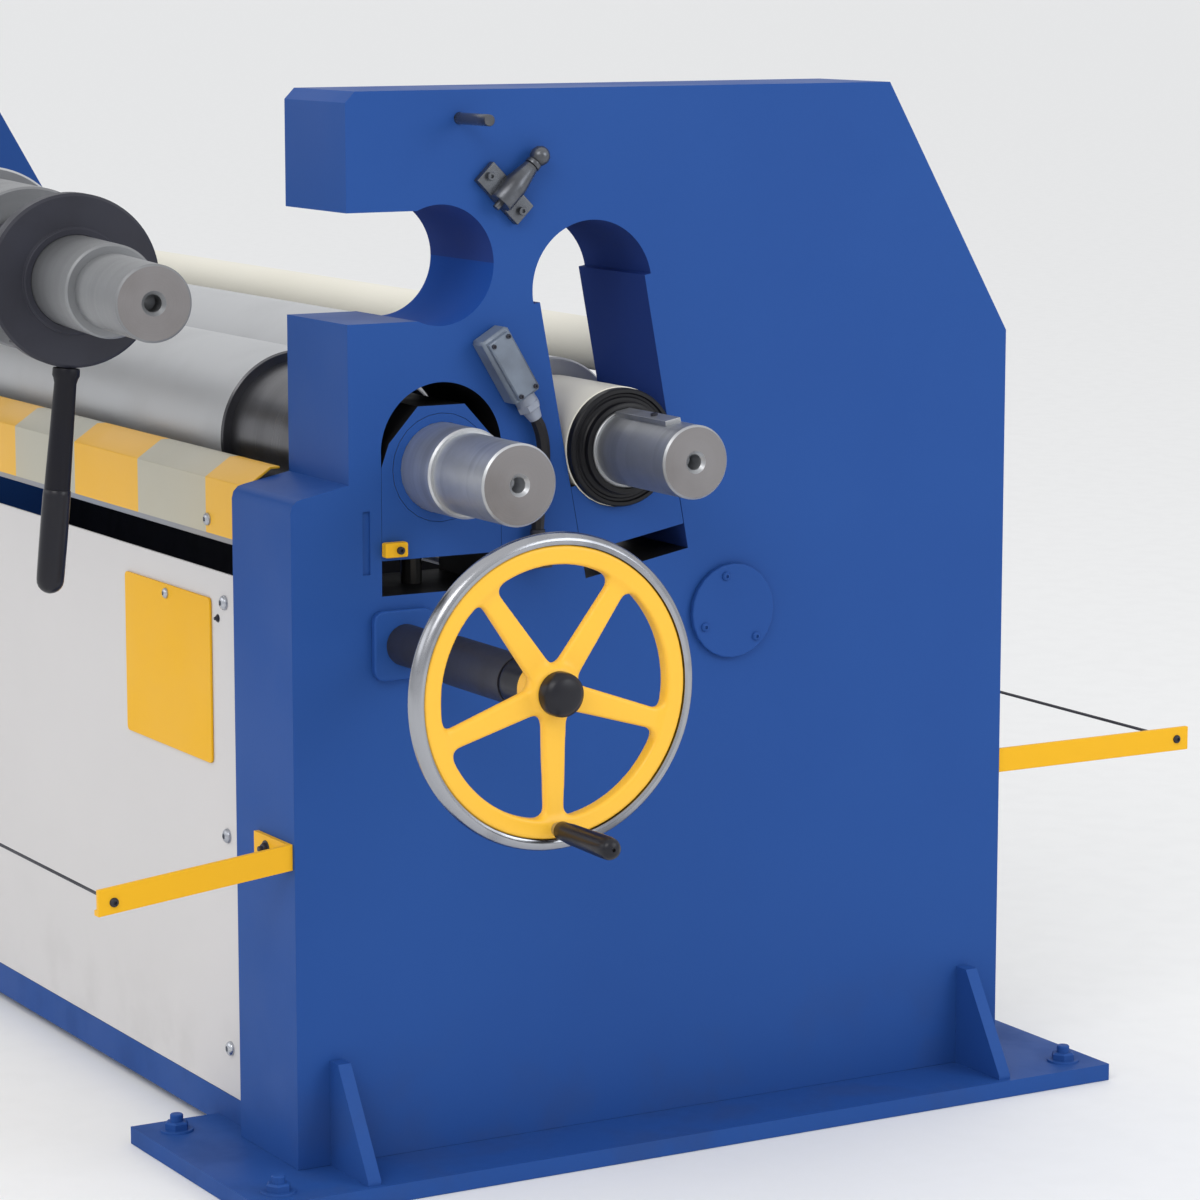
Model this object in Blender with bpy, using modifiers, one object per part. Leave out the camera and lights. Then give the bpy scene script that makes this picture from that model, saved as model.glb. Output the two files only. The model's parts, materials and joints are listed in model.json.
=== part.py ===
"""A plate rolling machine: three rolls between two frames, with a top roll that swings out at its drop end.

Metres, +Z up. X runs along the rolls with the drop end at +X, and -Y is the operator's side.
The origin is on the floor, midway between the frames.
"""

import math

import bmesh
import bpy
from mathutils import Matrix, Vector

# Clearances and overruns
GAP = 0.0003
RUNNING = 0.0005
OVERRUN = 0.02

# The two frames
FRAME_THICKNESS = 0.15
SEAT_TO_TOP = 0.19
FRAME_FRONT_Y = -0.437
JAW_Y = -0.3665
FRAME_REAR_Y = 0.506
SLOPE_TOP_Y = 0.336
SLOPE_LOW_Z = 0.91
LEDGE_FRONT_Z = 0.769
LEDGE_REAR_Z = 0.78
LEDGE_RADIUS = 0.015
TOP_CHAMFER = 0.012
BASE_THICKNESS = 0.02
BASE_FRONT_Y = -0.53
BASE_REAR_Y = 0.605
BASE_INNER = 0.25
BASE_OUTER = 0.1
GUSSET_HEIGHT = 0.12
GUSSET_FOOT = 0.092
GUSSET_TOE = 0.02
GUSSET_THICKNESS = 0.016
GUSSET_FRONT_Y = -0.389
GUSSET_REAR_Y = 0.455
ANCHOR_RADIUS = 0.011
ANCHOR_INSET = 0.04

# The seat and mouth of the top roll
SEAT_Y = -0.2525
PINCH_CENTRES = 0.222
SEAT_RADIUS = 0.066
MOUTH_HALF = 0.06

# The upright slot, measured from the front roll's axis
FRONT_AXIS_Z = 0.793
FRONT_SLOT_HALF = 0.0745
FRONT_ARCH_RISE = 0.0195
FRONT_SLOT_DROP = 0.138
FRONT_BLOCK_DROP = 0.099
FRONT_BLOCK_RISE = 0.069
FRONT_BLOCK_SHOULDER = 0.004
FRONT_BLOCK_FLAT_HALF = 0.029

# The slanted slot, measured along its own axis from the rear roll's axis
REAR_AXIS_Y = -0.0275
REAR_AXIS_Z = 0.8025
REAR_TILT = math.radians(10.5)
REAR_SLOT_HALF = 0.0685
REAR_ARCH_RADIUS = 0.0765
REAR_ARCH_RISE = 0.1825
REAR_SLOT_DROP = 0.1368
REAR_BLOCK_DROP = 0.108
REAR_BLOCK_TOP = -0.03

# Rolls
ROLL_RADIUS = 0.1
ROLL_LENGTH = 2.4
NECK_LENGTH = 0.205
NECK_RADIUS = 0.088
NECK_STANDOFF = 0.005
TOP_JOURNAL = 0.048
TOP_TIP_RADIUS = 0.0415
TOP_JOURNAL_REACH = 0.131
TOP_ROLL_REACH = 0.33
FRONT_JOURNAL = 0.05
FRONT_TIP_RADIUS = 0.045
FRONT_JOURNAL_REACH = 0.065
FRONT_ROLL_REACH = 0.178
REAR_JOURNAL = 0.045
REAR_TIP_RADIUS = 0.041
REAR_ROLL_REACH = 0.168
CENTRE_RADIUS = 0.0115
CENTRE_DEPTH = 0.03
EDGE_BREAK = 0.002

# The key of the rear roll
KEY_START = 0.011
KEY_LENGTH = 0.11
KEY_WIDTH = 0.02
KEY_SEAT = 0.034
KEY_TOP = 0.0455

# The yoke that the top roll swings on
SWING_ANGLE = math.radians(8.0)
YOKE_RADIUS = 0.078
YOKE_HALF_HEIGHT = 0.095
YOKE_BOSS_RADIUS = 0.06
YOKE_BOSS_HALF = 0.088
WINDOW_HALF = 0.0785
YOKE_BUSH_WALL = 0.005
PIVOT_RADIUS = 0.02
PIVOT_DEPTH = 0.03
TOP_NECK_RADIUS = 0.07
TOP_NECK_START = 0.1
TOP_NECK_END = 0.16
TAIL_NUT_RADIUS = 0.06
TAIL_NUT_LENGTH = 0.022
TAIL_STUB = 0.006

# The locking bush with its disc and lever
LOCK_RADIUS = 0.0595
LOCK_FLAT_HALF = 0.054
DISC_RADIUS = 0.0915
DISC_THICKNESS = 0.028
DISC_STANDOFF = 0.003
DISC_RING_RADIUS = 0.0556
DISC_RING_HEIGHT = 0.005
NOTCH_DEPTH = 0.0065
NOTCH_BACK = 0.0055
NOTCH_AHEAD = 0.015
NOTCH_FLOOR = 0.007
LEVER_LEAN = math.radians(7.6)
LEVER_TURN = math.radians(175.0)
LEVER_SOCKET = 0.072
LEVER_RADIUS = 0.0085
LEVER_COLLAR_RADIUS = 0.0125
LEVER_COLLAR_LENGTH = 0.02
GRIP_START = 0.22
GRIP_END = 0.33
GRIP_RADIUS = 0.0145
GRIP_WAIST = 0.0105

# Latch, stop pin and limit switch on the drop end's face
LATCH_ANGLE = math.radians(45.0)
LATCH_PLATE_START = 0.0938
LATCH_PLATE_DEPTH = 0.029
LATCH_PLATE_LENGTH = 0.071
LATCH_PLATE_THICKNESS = 0.01
LATCH_AXIS_X = 0.0145
LATCH_BODY_RADIUS = 0.0135
LATCH_NECK_RADIUS = 0.0085
LATCH_BODY_END = 0.15
LATCH_TAPER_START = 0.122
PLUNGER_RADIUS = 0.004
PLUNGER_TIP = 0.0865
PLUNGER_KNOB = 0.165
PLUNGER_KNOB_RADIUS = 0.0115
STOP_PIN_Y = -0.228
STOP_PIN_BELOW_TOP = 0.031
STOP_PIN_RADIUS = 0.0065
STOP_PIN_LENGTH = 0.07
PIN_SOCKET = 0.02
SWITCH_Y = -0.179
SWITCH_Z = 0.9035
SWITCH_TILT = math.radians(31.0)
SWITCH_WIDTH = 0.037
SWITCH_HEIGHT = 0.083
SWITCH_DEPTH = 0.034
SWITCH_LID_INSET = 0.004
SWITCH_LID_DEPTH = 0.006
SWITCH_GLAND_LENGTH = 0.03
SWITCH_GLAND_ROOT = 0.0125
SWITCH_GLAND_TIP = 0.0075
SWITCH_EDGE = 0.003
CABLE_RADIUS = 0.0045
CABLE_OUT = 0.0145
FRAME_GLAND_Y = -0.14
FRAME_GLAND_Z = 0.7
FRAME_GLAND_RADIUS = 0.0085
FRAME_GLAND_LENGTH = 0.018
FRAME_GLAND_FOOT = 0.024

# The gear that lifts a roll: screw, worm wheel and cross shaft
WORM_CENTRES = 0.0515
WHEEL_RADIUS = 0.0385
WHEEL_TEETH = 12
WHEEL_TOOTH_DEPTH = 0.0035
WHEEL_THICKNESS = 0.024
WHEEL_HUB_RADIUS = 0.022
CHAMBER_HEIGHT = 0.052
CHAMBER_WALL = 0.025
CHAMBER_MARGIN = 0.006
SCREW_RADIUS = 0.012
SCREW_HEAD_RADIUS = 0.02
SCREW_HEAD_HEIGHT = 0.008
FRONT_DRIVE_DROP = 0.192
FRONT_TRAVEL_UP = 0.016
FRONT_TRAVEL_DOWN = 0.03
REAR_DRIVE_DROP = 0.2224
REAR_TRAVEL_UP = 0.12
REAR_TRAVEL_DOWN = 0.015
SHAFT_RADIUS = 0.012
WORM_THREADS = 3
WORM_PITCH = 0.008
WORM_GROOVE = 0.0025
SHAFT_BLIND_DEPTH = 0.015

# Bushes and cartridges of the lower rolls
BUSH_WALL = 0.01
SEAL_RADIUS = 0.067
SEAL_THICKNESS = 0.012
SEAL_HUB_RADIUS = 0.052
SEAL_HUB_THICKNESS = 0.01
CARTRIDGE_RADIUS = 0.068

# The handwheels
WHEEL_PLANE = 0.34
RIM_OUTER = 0.166
RIM_WIDTH = 0.016
RIM_DEPTH = 0.022
RIM_ROUND = 0.006
INNER_RIM_WIDTH = 0.015
INNER_RIM_DEPTH = 0.018
SPOKES = 5
SPOKE_ROOT_HALF = 0.0145
SPOKE_END_HALF = 0.0105
SPOKE_DEPTH = 0.012
HUB_RADIUS = 0.027
HUB_FRONT = 0.352
HUB_CAP_RADIUS = 0.0235
HUB_CAP_HEIGHT = 0.02
HUB_CAP_ROUND = 0.004
SLEEVE_RADIUS = 0.024
SLEEVE_END = 0.27
SLEEVE_RING_RADIUS = 0.0275
SLEEVE_RING_PLACE = 0.13
SLEEVE_RING_LENGTH = 0.012
PAD_HALF_WIDTH = 0.0375
PAD_HALF_HEIGHT = 0.039
PAD_THICKNESS = 0.01
PAD_CORNER = 0.012
CRANK_BOLT_RADIUS = 0.005
CRANK_COLLAR_LENGTH = 0.008
CRANK_GRIP_RADIUS = 0.0125
CRANK_GRIP_WAIST = 0.0095
CRANK_GRIP_LENGTH = 0.112

# Small fittings on the outer faces
PORT_Y = 0.122
PORT_Z = 0.604
PORT_RADIUS = 0.042
PORT_COVER_RADIUS = 0.055
PORT_COVER_THICKNESS = 0.008
RECESS_FRONT_Y = -0.35
RECESS_WIDTH = 0.009
RECESS_LOW_Z = 0.68
RECESS_HEIGHT = 0.07
RECESS_DEPTH = 0.003
POINTER_FRONT_Y = -0.328
POINTER_REAR_Y = -0.3
POINTER_LOW_Z = 0.6985
POINTER_HIGH_Z = 0.715
POINTER_THICKNESS = 0.012

# Panels, guard rail, bed and tie tube
PANEL_Y = -0.42
PANEL_THICKNESS = 0.003
PANEL_HIGH_Z = 0.66
COVER_INNER = 0.487
COVER_OUTER = 0.245
COVER_LOW_Z = 0.435
COVER_HIGH_Z = 0.627
RAIL_LOW_Z = 0.695
RAIL_HIGH_Z = 0.765
RAIL_INCLINE_DEPTH = 0.031
RAIL_INCLINE_RISE = 0.021
RAIL_STRIP = 0.012
RAIL_RETURN = 0.018
RAIL_THICKNESS = 0.003
BED_HEIGHT = 0.03
BED_WIDTH = 0.09
BED_FRONT_Y = -0.42
BED_REAR_Y = 0.49
CROSS_MEMBERS = 3
CROSS_MEMBER_WIDTH = 0.08
TIE_Y = 0.205
TIE_Z = 0.87
TIE_RADIUS = 0.0325

# The emergency trip line
ARM_THICKNESS = 0.006
ARM_HEIGHT = 0.029
ARM_FLANGE = 0.012
ARM_FOOT = 0.087
FRONT_ARM_Z = 0.374
FRONT_ARM_TIP_Y = -0.667
FRONT_ARM_DROOP = 0.025
REAR_ARM_Z = 0.387
REAR_ARM_TIP_Y = 0.797
ARM_FACE = 0.004
WIRE_RADIUS = 0.002
WIRE_INSET = 0.018

# The drive on the front roll
GEARBOX_STANDOFF = 0.015
GEARBOX_LENGTH = 0.16
GEARBOX_RADIUS = 0.11
GEARBOX_TAIL = 0.02
WORM_HOUSING_RISE = 0.085
WORM_HOUSING_RADIUS = 0.05
WORM_HOUSING_FRONT = 0.115
MOTOR_START = 0.125
MOTOR_FLANGE_RADIUS = 0.075
MOTOR_FLANGE_LENGTH = 0.012
MOTOR_RADIUS = 0.06
MOTOR_LENGTH = 0.16
MOTOR_FINS = 3
MOTOR_FIN_HEIGHT = 0.006
MOTOR_FIN_SHARE = 0.4
COWL_RADIUS = 0.066
COWL_LENGTH = 0.045
TERMINAL_LENGTH = 0.08
TERMINAL_WIDTH = 0.07
TERMINAL_HEIGHT = 0.035
TORQUE_PIN_DROP = 0.2
TORQUE_PIN_RADIUS = 0.01
TORQUE_PIN_REACH = 0.04
TORQUE_ARM_HALF = 0.028
TORQUE_ARM_THICKNESS = 0.012
TORQUE_ARM_WALL = 0.014

# The drive on the rear cross shaft
LIFT_MOTOR_REACH = 0.475
LIFT_FLANGE_RADIUS = 0.07
LIFT_FLANGE_LENGTH = 0.014
LIFT_GEAR_RADIUS = 0.052
LIFT_GEAR_LENGTH = 0.15
LIFT_MOTOR_RADIUS = 0.048
LIFT_COWL_LENGTH = 0.05
LIFT_SHAFT_REACH = 0.08

# Facets of round pieces
ROUND_SIDES = 24
SMALL_SIDES = 12
MOTOR_SIDES = 16
RIM_SIDES = 48
ARCH_STEPS = 12
HOLE_SIDES = 8
CABLE_STEPS = 14
CORNER_STEPS = 3

# The two ends, with the side of each along X
ENDS = (("drop", 1), ("drive", -1))

# Places that follow from the sizes above
SPAN = ROLL_LENGTH + 2 * (NECK_LENGTH + NECK_STANDOFF + FRAME_THICKNESS)
FACE = SPAN / 2
INNER_FACE = FACE - FRAME_THICKNESS
FRAME_MIDDLE = FACE - FRAME_THICKNESS / 2
FRAME_FOOT_Z = BASE_THICKNESS + GAP
SEAT_Z = FRONT_AXIS_Z + PINCH_CENTRES
FRAME_TOP_Z = SEAT_Z + SEAT_TO_TOP
STOP_PIN_Z = FRAME_TOP_Z - STOP_PIN_BELOW_TOP
FRONT_BLOCK_HALF = FRONT_SLOT_HALF - GAP
REAR_BLOCK_HALF = REAR_SLOT_HALF - GAP
FRONT_SHAFT_Y = SEAT_Y - WORM_CENTRES
FRONT_SHAFT_Z = FRONT_AXIS_Z - FRONT_DRIVE_DROP
WORM_RADIUS = WORM_CENTRES - WHEEL_RADIUS - GAP
RIM_INNER = RIM_OUTER - RIM_WIDTH
INNER_RIM_INNER = RIM_INNER - INNER_RIM_WIDTH
CRANK_RADIUS = (INNER_RIM_INNER + RIM_INNER) / 2
CRANK_COLLAR_RADIUS = (RIM_INNER - INNER_RIM_INNER) / 2

ALONG_X = Matrix.Rotation(math.radians(90), 4, "Y")
ALONG_Y = Matrix.Rotation(math.radians(-90), 4, "X")
FRONT_LIFT = Matrix.Translation((0, SEAT_Y, FRONT_AXIS_Z))
REAR_LIFT = Matrix.Translation((0, REAR_AXIS_Y, REAR_AXIS_Z)) @ Matrix.Rotation(REAR_TILT, 4, "X")
REAR_SHAFT = REAR_LIFT @ Vector((0, WORM_CENTRES, -REAR_DRIVE_DROP))
SWING_PLACE = Matrix.Translation((-FRAME_MIDDLE, SEAT_Y, SEAT_Z))
DROP_FACE_FROM_PIVOT = FACE + FRAME_MIDDLE

# Finishes: colour, roughness and metallic value
BLUE = ((0.032, 0.092, 0.332), 0.42, 0.0)
YELLOW = ((0.84, 0.43, 0.03), 0.45, 0.0)
LIGHT_GREY = ((0.63, 0.61, 0.61), 0.5, 0.0)
CREAM = ((0.62, 0.58, 0.47), 0.45, 0.0)
STEEL = ((0.4, 0.41, 0.43), 0.35, 1.0)
DARK_STEEL = ((0.11, 0.12, 0.13), 0.4, 1.0)
BLACK = ((0.014, 0.014, 0.018), 0.5, 0.0)
BRONZE = ((0.46, 0.28, 0.1), 0.4, 1.0)
CHROME = ((0.62, 0.64, 0.66), 0.18, 1.0)
GREY_CAST = ((0.15, 0.17, 0.19), 0.5, 0.0)


def empty_scene():
    """Removes what the scene holds and makes the two collections."""
    for obj in list(bpy.data.objects):
        bpy.data.objects.remove(obj, do_unlink=True)
    for name in ("Plate rolling machine", "Cutters"):
        bpy.context.scene.collection.children.link(bpy.data.collections.new(name))
    layers = bpy.context.view_layer.layer_collection.children
    bpy.context.view_layer.active_layer_collection = layers["Plate rolling machine"]


def place(obj, matrix):
    """Moves an object by a matrix, on top of where it is."""
    obj.matrix_world = matrix @ obj.matrix_world
    bpy.context.view_layer.update()
    return obj


def at(x, y, z):
    return Matrix.Translation((x, y, z))


def box(low, high):
    """A box between two corners."""
    low = Vector(low)
    high = Vector(high)
    bpy.ops.mesh.primitive_cube_add(size=1, location=(low + high) / 2)
    obj = bpy.context.object
    obj.scale = high - low
    bpy.ops.object.transform_apply(location=False, rotation=False, scale=True)
    return obj


def rod(start, end, radius, sides=ROUND_SIDES):
    """A round bar from one point to another."""
    start = Vector(start)
    end = Vector(end)
    run = end - start
    bpy.ops.mesh.primitive_cylinder_add(
        vertices=sides, radius=radius, depth=run.length, location=(start + end) / 2
    )
    obj = bpy.context.object
    obj.rotation_euler = run.to_track_quat("Z", "Y").to_euler()
    bpy.context.view_layer.update()
    return obj


def turned(profile, sides=ROUND_SIDES, closed=False):
    """A turned solid round Z. The profile is (radius, height), from its top down the outer side."""
    mesh = bpy.data.meshes.new("profile")
    shape = bmesh.new()
    points = [shape.verts.new((radius, 0, height)) for radius, height in profile]
    for first, second in zip(points, points[1:]):
        shape.edges.new((first, second))
    if closed:
        shape.edges.new((points[-1], points[0]))
    shape.to_mesh(mesh)
    shape.free()
    obj = bpy.data.objects.new("turned", mesh)
    bpy.context.collection.objects.link(obj)
    screw = obj.modifiers.new("Turn", "SCREW")
    screw.steps = sides
    screw.render_steps = sides
    screw.use_merge_vertices = True
    screw.merge_threshold = GAP / 10
    bake(obj)
    return obj


def shaft(steps, sides=ROUND_SIDES, bore=0.0):
    """A stepped round bar along X. The steps are (x, radius), each holding on to the next x."""
    outer = []
    for (start, radius), (end, _) in zip(steps, steps[1:]):
        outer += [(radius, start), (radius, end)]
    outer.reverse()
    if bore:
        profile = outer + [(bore, steps[0][0]), (bore, steps[-1][0])]
        return place(turned(profile, sides, closed=True), ALONG_X)
    profile = [(0.0, steps[-1][0])] + outer + [(0.0, steps[0][0])]
    return place(turned(profile, sides), ALONG_X)


def arc(centre, radius, start, end, steps):
    """Points on a circle's arc, with angles in radians."""
    return [
        (
            centre[0] + radius * math.cos(start + (end - start) * step / steps),
            centre[1] + radius * math.sin(start + (end - start) * step / steps),
        )
        for step in range(steps + 1)
    ]


def plate(outline, thickness):
    """A flat piece from an outline in X and Y, centred on its own plane, extruded along Z."""
    curve = bpy.data.curves.new("outline", "CURVE")
    curve.dimensions = "2D"
    curve.fill_mode = "BOTH"
    curve.extrude = thickness / 2
    spline = curve.splines.new("POLY")
    spline.points.add(len(outline) - 1)
    for point, (across, along) in zip(spline.points, outline):
        point.co = (across, along, 0, 1)
    spline.use_cyclic_u = True
    obj = bpy.data.objects.new("plate", curve)
    bpy.context.collection.objects.link(obj)
    return as_mesh(obj)


def upright(outline, low_x, high_x):
    """A piece with an outline in Y and Z that runs along X from one place to another."""
    turn = Matrix(((0, 0, 1, 0), (1, 0, 0, 0), (0, 1, 0, 0), (0, 0, 0, 1)))
    obj = plate(outline, high_x - low_x)
    return place(obj, at((low_x + high_x) / 2, 0, 0) @ turn)


def as_mesh(curve_object):
    """The mesh of a curve object, with its caps welded on. The curve is removed."""
    graph = bpy.context.evaluated_depsgraph_get()
    mesh = bpy.data.meshes.new_from_object(curve_object.evaluated_get(graph))
    shape = bmesh.new()
    shape.from_mesh(mesh)
    bmesh.ops.remove_doubles(shape, verts=shape.verts, dist=GAP / 10)
    bmesh.ops.recalc_face_normals(shape, faces=shape.faces)
    shape.to_mesh(mesh)
    shape.free()
    obj = bpy.data.objects.new(curve_object.name, mesh)
    obj.matrix_world = curve_object.matrix_world
    bpy.context.collection.objects.link(obj)
    bpy.data.objects.remove(curve_object, do_unlink=True)
    return obj


def bake(obj):
    """Turns an object's modifiers into its mesh."""
    bpy.context.view_layer.update()
    graph = bpy.context.evaluated_depsgraph_get()
    mesh = bpy.data.meshes.new_from_object(obj.evaluated_get(graph))
    obj.modifiers.clear()
    obj.data = mesh
    return obj


def store_cutter(cutter):
    cutters = bpy.data.collections["Cutters"]
    for collection in list(cutter.users_collection):
        collection.objects.unlink(cutter)
    cutters.objects.link(cutter)
    cutter.hide_render = True
    cutter.display_type = "WIRE"


def cut(obj, *cutters):
    """Takes the cutters away from an object."""
    for cutter in cutters:
        difference = obj.modifiers.new("Cut", "BOOLEAN")
        difference.operation = "DIFFERENCE"
        difference.object = cutter
        store_cutter(cutter)
    return bake(obj)


def fuse(obj, *others):
    """Joins other shapes to an object as one solid."""
    for other in others:
        union = obj.modifiers.new("Join", "BOOLEAN")
        union.operation = "UNION"
        union.object = other
        bake(obj)
        bpy.data.objects.remove(other, do_unlink=True)
    return obj


def bevel(obj, width, segments=1):
    """Breaks an object's sharp edges."""
    edge = obj.modifiers.new("Edges", "BEVEL")
    edge.width = width
    edge.segments = segments
    edge.limit_method = "ANGLE"
    edge.angle_limit = math.radians(50)
    return bake(obj)


def node(name, finish, obj, parent=None):
    """Names a sub-part, gives it its material and hangs it on its joint."""
    colour, roughness, metallic = finish
    material = bpy.data.materials.new(name)
    material.use_nodes = True
    shader = material.node_tree.nodes["Principled BSDF"]
    shader.inputs["Base Color"].default_value = (*colour, 1)
    shader.inputs["Roughness"].default_value = roughness
    shader.inputs["Metallic"].default_value = metallic
    obj.name = name
    obj.data.name = name
    obj.data.materials.clear()
    obj.data.materials.append(material)
    obj.data.shade_smooth()
    obj.data.set_sharp_from_angle(angle=math.radians(35))
    if parent:
        obj.parent = parent
        obj.matrix_parent_inverse = parent.matrix_world.inverted()
    return obj


def joint(name, matrix, parent=None):
    """An empty on a joint's axis, which carries what moves there."""
    empty = bpy.data.objects.new(name, None)
    bpy.context.collection.objects.link(empty)
    empty.empty_display_size = ROLL_RADIUS
    empty.matrix_world = matrix
    bpy.context.view_layer.update()
    if parent:
        empty.parent = parent
        empty.matrix_parent_inverse = parent.matrix_world.inverted()
        bpy.context.view_layer.update()
    return empty


def facing(side):
    """The turn that points a piece drawn towards +X outwards on one side."""
    return Matrix.Rotation(math.radians(0 if side > 0 else 180), 4, "Z")


def between(side, near, far):
    """The two X places of a stretch, given outwards from the machine's middle on one side."""
    return sorted((side * near, side * far))


# Frames, base and bed


def frame_outline():
    corner = arc(
        (FRAME_FRONT_Y + LEDGE_RADIUS, LEDGE_FRONT_Z - LEDGE_RADIUS),
        LEDGE_RADIUS, math.radians(180), math.radians(90), CORNER_STEPS,
    )
    return [
        (FRAME_REAR_Y, FRAME_FOOT_Z),
        (FRAME_FRONT_Y, FRAME_FOOT_Z),
        *corner,
        (JAW_Y, LEDGE_REAR_Z),
        (JAW_Y, FRAME_TOP_Z - TOP_CHAMFER),
        (JAW_Y + TOP_CHAMFER, FRAME_TOP_Z),
        (SLOPE_TOP_Y, FRAME_TOP_Z),
        (FRAME_REAR_Y, SLOPE_LOW_Z),
    ]


def slot_outline(half, arch_radius, rise, drop):
    """A slot with a round top, about the roll's axis. Its arch may be wider than its sides."""
    arch = arc((0, rise), arch_radius, 0, math.pi, ARCH_STEPS)
    return [(-half, -drop), (half, -drop), (half, rise), *arch, (-half, rise)]


def through(outline, side, matrix):
    """A cutter with an outline about a roll's axis, through the whole frame on one side."""
    low, high = between(side, INNER_FACE - OVERRUN, FACE + OVERRUN)
    return place(upright(outline, low, high), matrix)


def chamber_cutters(side, matrix, hand, drop, travel_up, travel_down, slot_drop):
    """The pocket of a worm wheel, the screw's hole above it and its well below."""
    worm_side = WORM_CENTRES + WORM_RADIUS + CHAMBER_MARGIN
    wheel_side = WHEEL_RADIUS + CHAMBER_MARGIN
    low_y, high_y = sorted((hand * worm_side, -hand * wheel_side))
    low_x, high_x = between(side, INNER_FACE - OVERRUN, FACE - CHAMBER_WALL)
    half = CHAMBER_HEIGHT / 2
    pocket = box((low_x, low_y, -drop - half), (high_x, high_y, -drop + half))
    lowest = screw_end(drop, travel_up) - travel_down - SCREW_RADIUS
    middle = side * FRAME_MIDDLE
    highest = OVERRUN - slot_drop
    hole = rod((middle, 0, lowest), (middle, 0, highest), SCREW_RADIUS + RUNNING, SMALL_SIDES)
    return [place(pocket, matrix), place(hole, matrix)]


def screw_end(drop, travel_up):
    """The height of a lift screw's lower end: it stays in the wheel's hub at full lift."""
    return -drop - CHAMBER_HEIGHT / 2 - travel_up


def shaft_hole(side, y, z, open_end):
    """The bearing hole of a cross shaft: through the outer wall, or blind in it."""
    end = FACE + OVERRUN if open_end else FACE - CHAMBER_WALL + SHAFT_BLIND_DEPTH
    start = INNER_FACE - OVERRUN
    return rod((side * start, y, z), (side * end, y, z), SHAFT_RADIUS + RUNNING, SMALL_SIDES)


def frame(side):
    """The frame on one side with all that both have: slots, gear chambers and shaft holes."""
    body = upright(frame_outline(), *between(side, INNER_FACE, FACE))
    front_slot = slot_outline(FRONT_SLOT_HALF, FRONT_SLOT_HALF, FRONT_ARCH_RISE, FRONT_SLOT_DROP)
    rear_slot = slot_outline(REAR_SLOT_HALF, REAR_ARCH_RADIUS, REAR_ARCH_RISE, REAR_SLOT_DROP)
    return cut(
        body,
        through(front_slot, side, FRONT_LIFT),
        through(rear_slot, side, REAR_LIFT),
        *chamber_cutters(
            side, FRONT_LIFT, -1, FRONT_DRIVE_DROP, FRONT_TRAVEL_UP, FRONT_TRAVEL_DOWN, FRONT_SLOT_DROP
        ),
        *chamber_cutters(
            side, REAR_LIFT, 1, REAR_DRIVE_DROP, REAR_TRAVEL_UP, REAR_TRAVEL_DOWN, REAR_SLOT_DROP
        ),
        shaft_hole(side, FRONT_SHAFT_Y, FRONT_SHAFT_Z, side > 0),
        shaft_hole(side, REAR_SHAFT.y, REAR_SHAFT.z, side < 0),
    )


def drop_end_frame():
    """The frame that the top roll swings out of, with its C-shaped jaw."""
    seat = rod((INNER_FACE - OVERRUN, SEAT_Y, SEAT_Z), (FACE + OVERRUN, SEAT_Y, SEAT_Z), SEAT_RADIUS)
    mouth = box(
        (INNER_FACE - OVERRUN, JAW_Y - OVERRUN, SEAT_Z - MOUTH_HALF),
        (FACE + OVERRUN, SEAT_Y, SEAT_Z + MOUTH_HALF),
    )
    recess = box(
        (FACE - RECESS_DEPTH, RECESS_FRONT_Y, RECESS_LOW_Z),
        (FACE + OVERRUN, RECESS_FRONT_Y + RECESS_WIDTH, RECESS_LOW_Z + RECESS_HEIGHT),
    )
    pin_hole = rod(
        (FACE - PIN_SOCKET - GAP, STOP_PIN_Y, STOP_PIN_Z),
        (FACE + OVERRUN, STOP_PIN_Y, STOP_PIN_Z), STOP_PIN_RADIUS + GAP, SMALL_SIDES,
    )
    port_start = FACE - CHAMBER_WALL - OVERRUN
    port = rod((port_start, PORT_Y, PORT_Z), (FACE + OVERRUN, PORT_Y, PORT_Z), PORT_RADIUS)
    grease_room = box(
        (INNER_FACE, REAR_SHAFT.y, PORT_Z - PORT_RADIUS / 2),
        (port_start, PORT_Y, PORT_Z + PORT_RADIUS / 2),
    )
    body = cut(frame(1), seat, mouth, recess, pin_hole, port, grease_room)
    return node("drop_end_frame", BLUE, body)


def drive_end_frame():
    """The frame at the driven end: a window for the swing yoke and a pin for the gearbox's arm."""
    half_height = YOKE_HALF_HEIGHT + RUNNING
    window = box(
        (-FACE - OVERRUN, SEAT_Y - WINDOW_HALF, SEAT_Z - half_height),
        (-INNER_FACE + OVERRUN, SEAT_Y + WINDOW_HALF, SEAT_Z + half_height),
    )
    pivot_half = YOKE_HALF_HEIGHT + PIVOT_DEPTH + RUNNING
    pivot_hole = rod(
        (-FRAME_MIDDLE, SEAT_Y, SEAT_Z - pivot_half), (-FRAME_MIDDLE, SEAT_Y, SEAT_Z + pivot_half),
        PIVOT_RADIUS + RUNNING,
    )
    pin_z = FRONT_AXIS_Z - TORQUE_PIN_DROP
    pin = rod(
        (-FACE - TORQUE_PIN_REACH, SEAT_Y, pin_z), (-FACE + CHAMBER_WALL / 2, SEAT_Y, pin_z),
        TORQUE_PIN_RADIUS,
    )
    body = cut(frame(-1), window, pivot_hole)
    return node("drive_end_frame", BLUE, fuse(body, pin))


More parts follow.
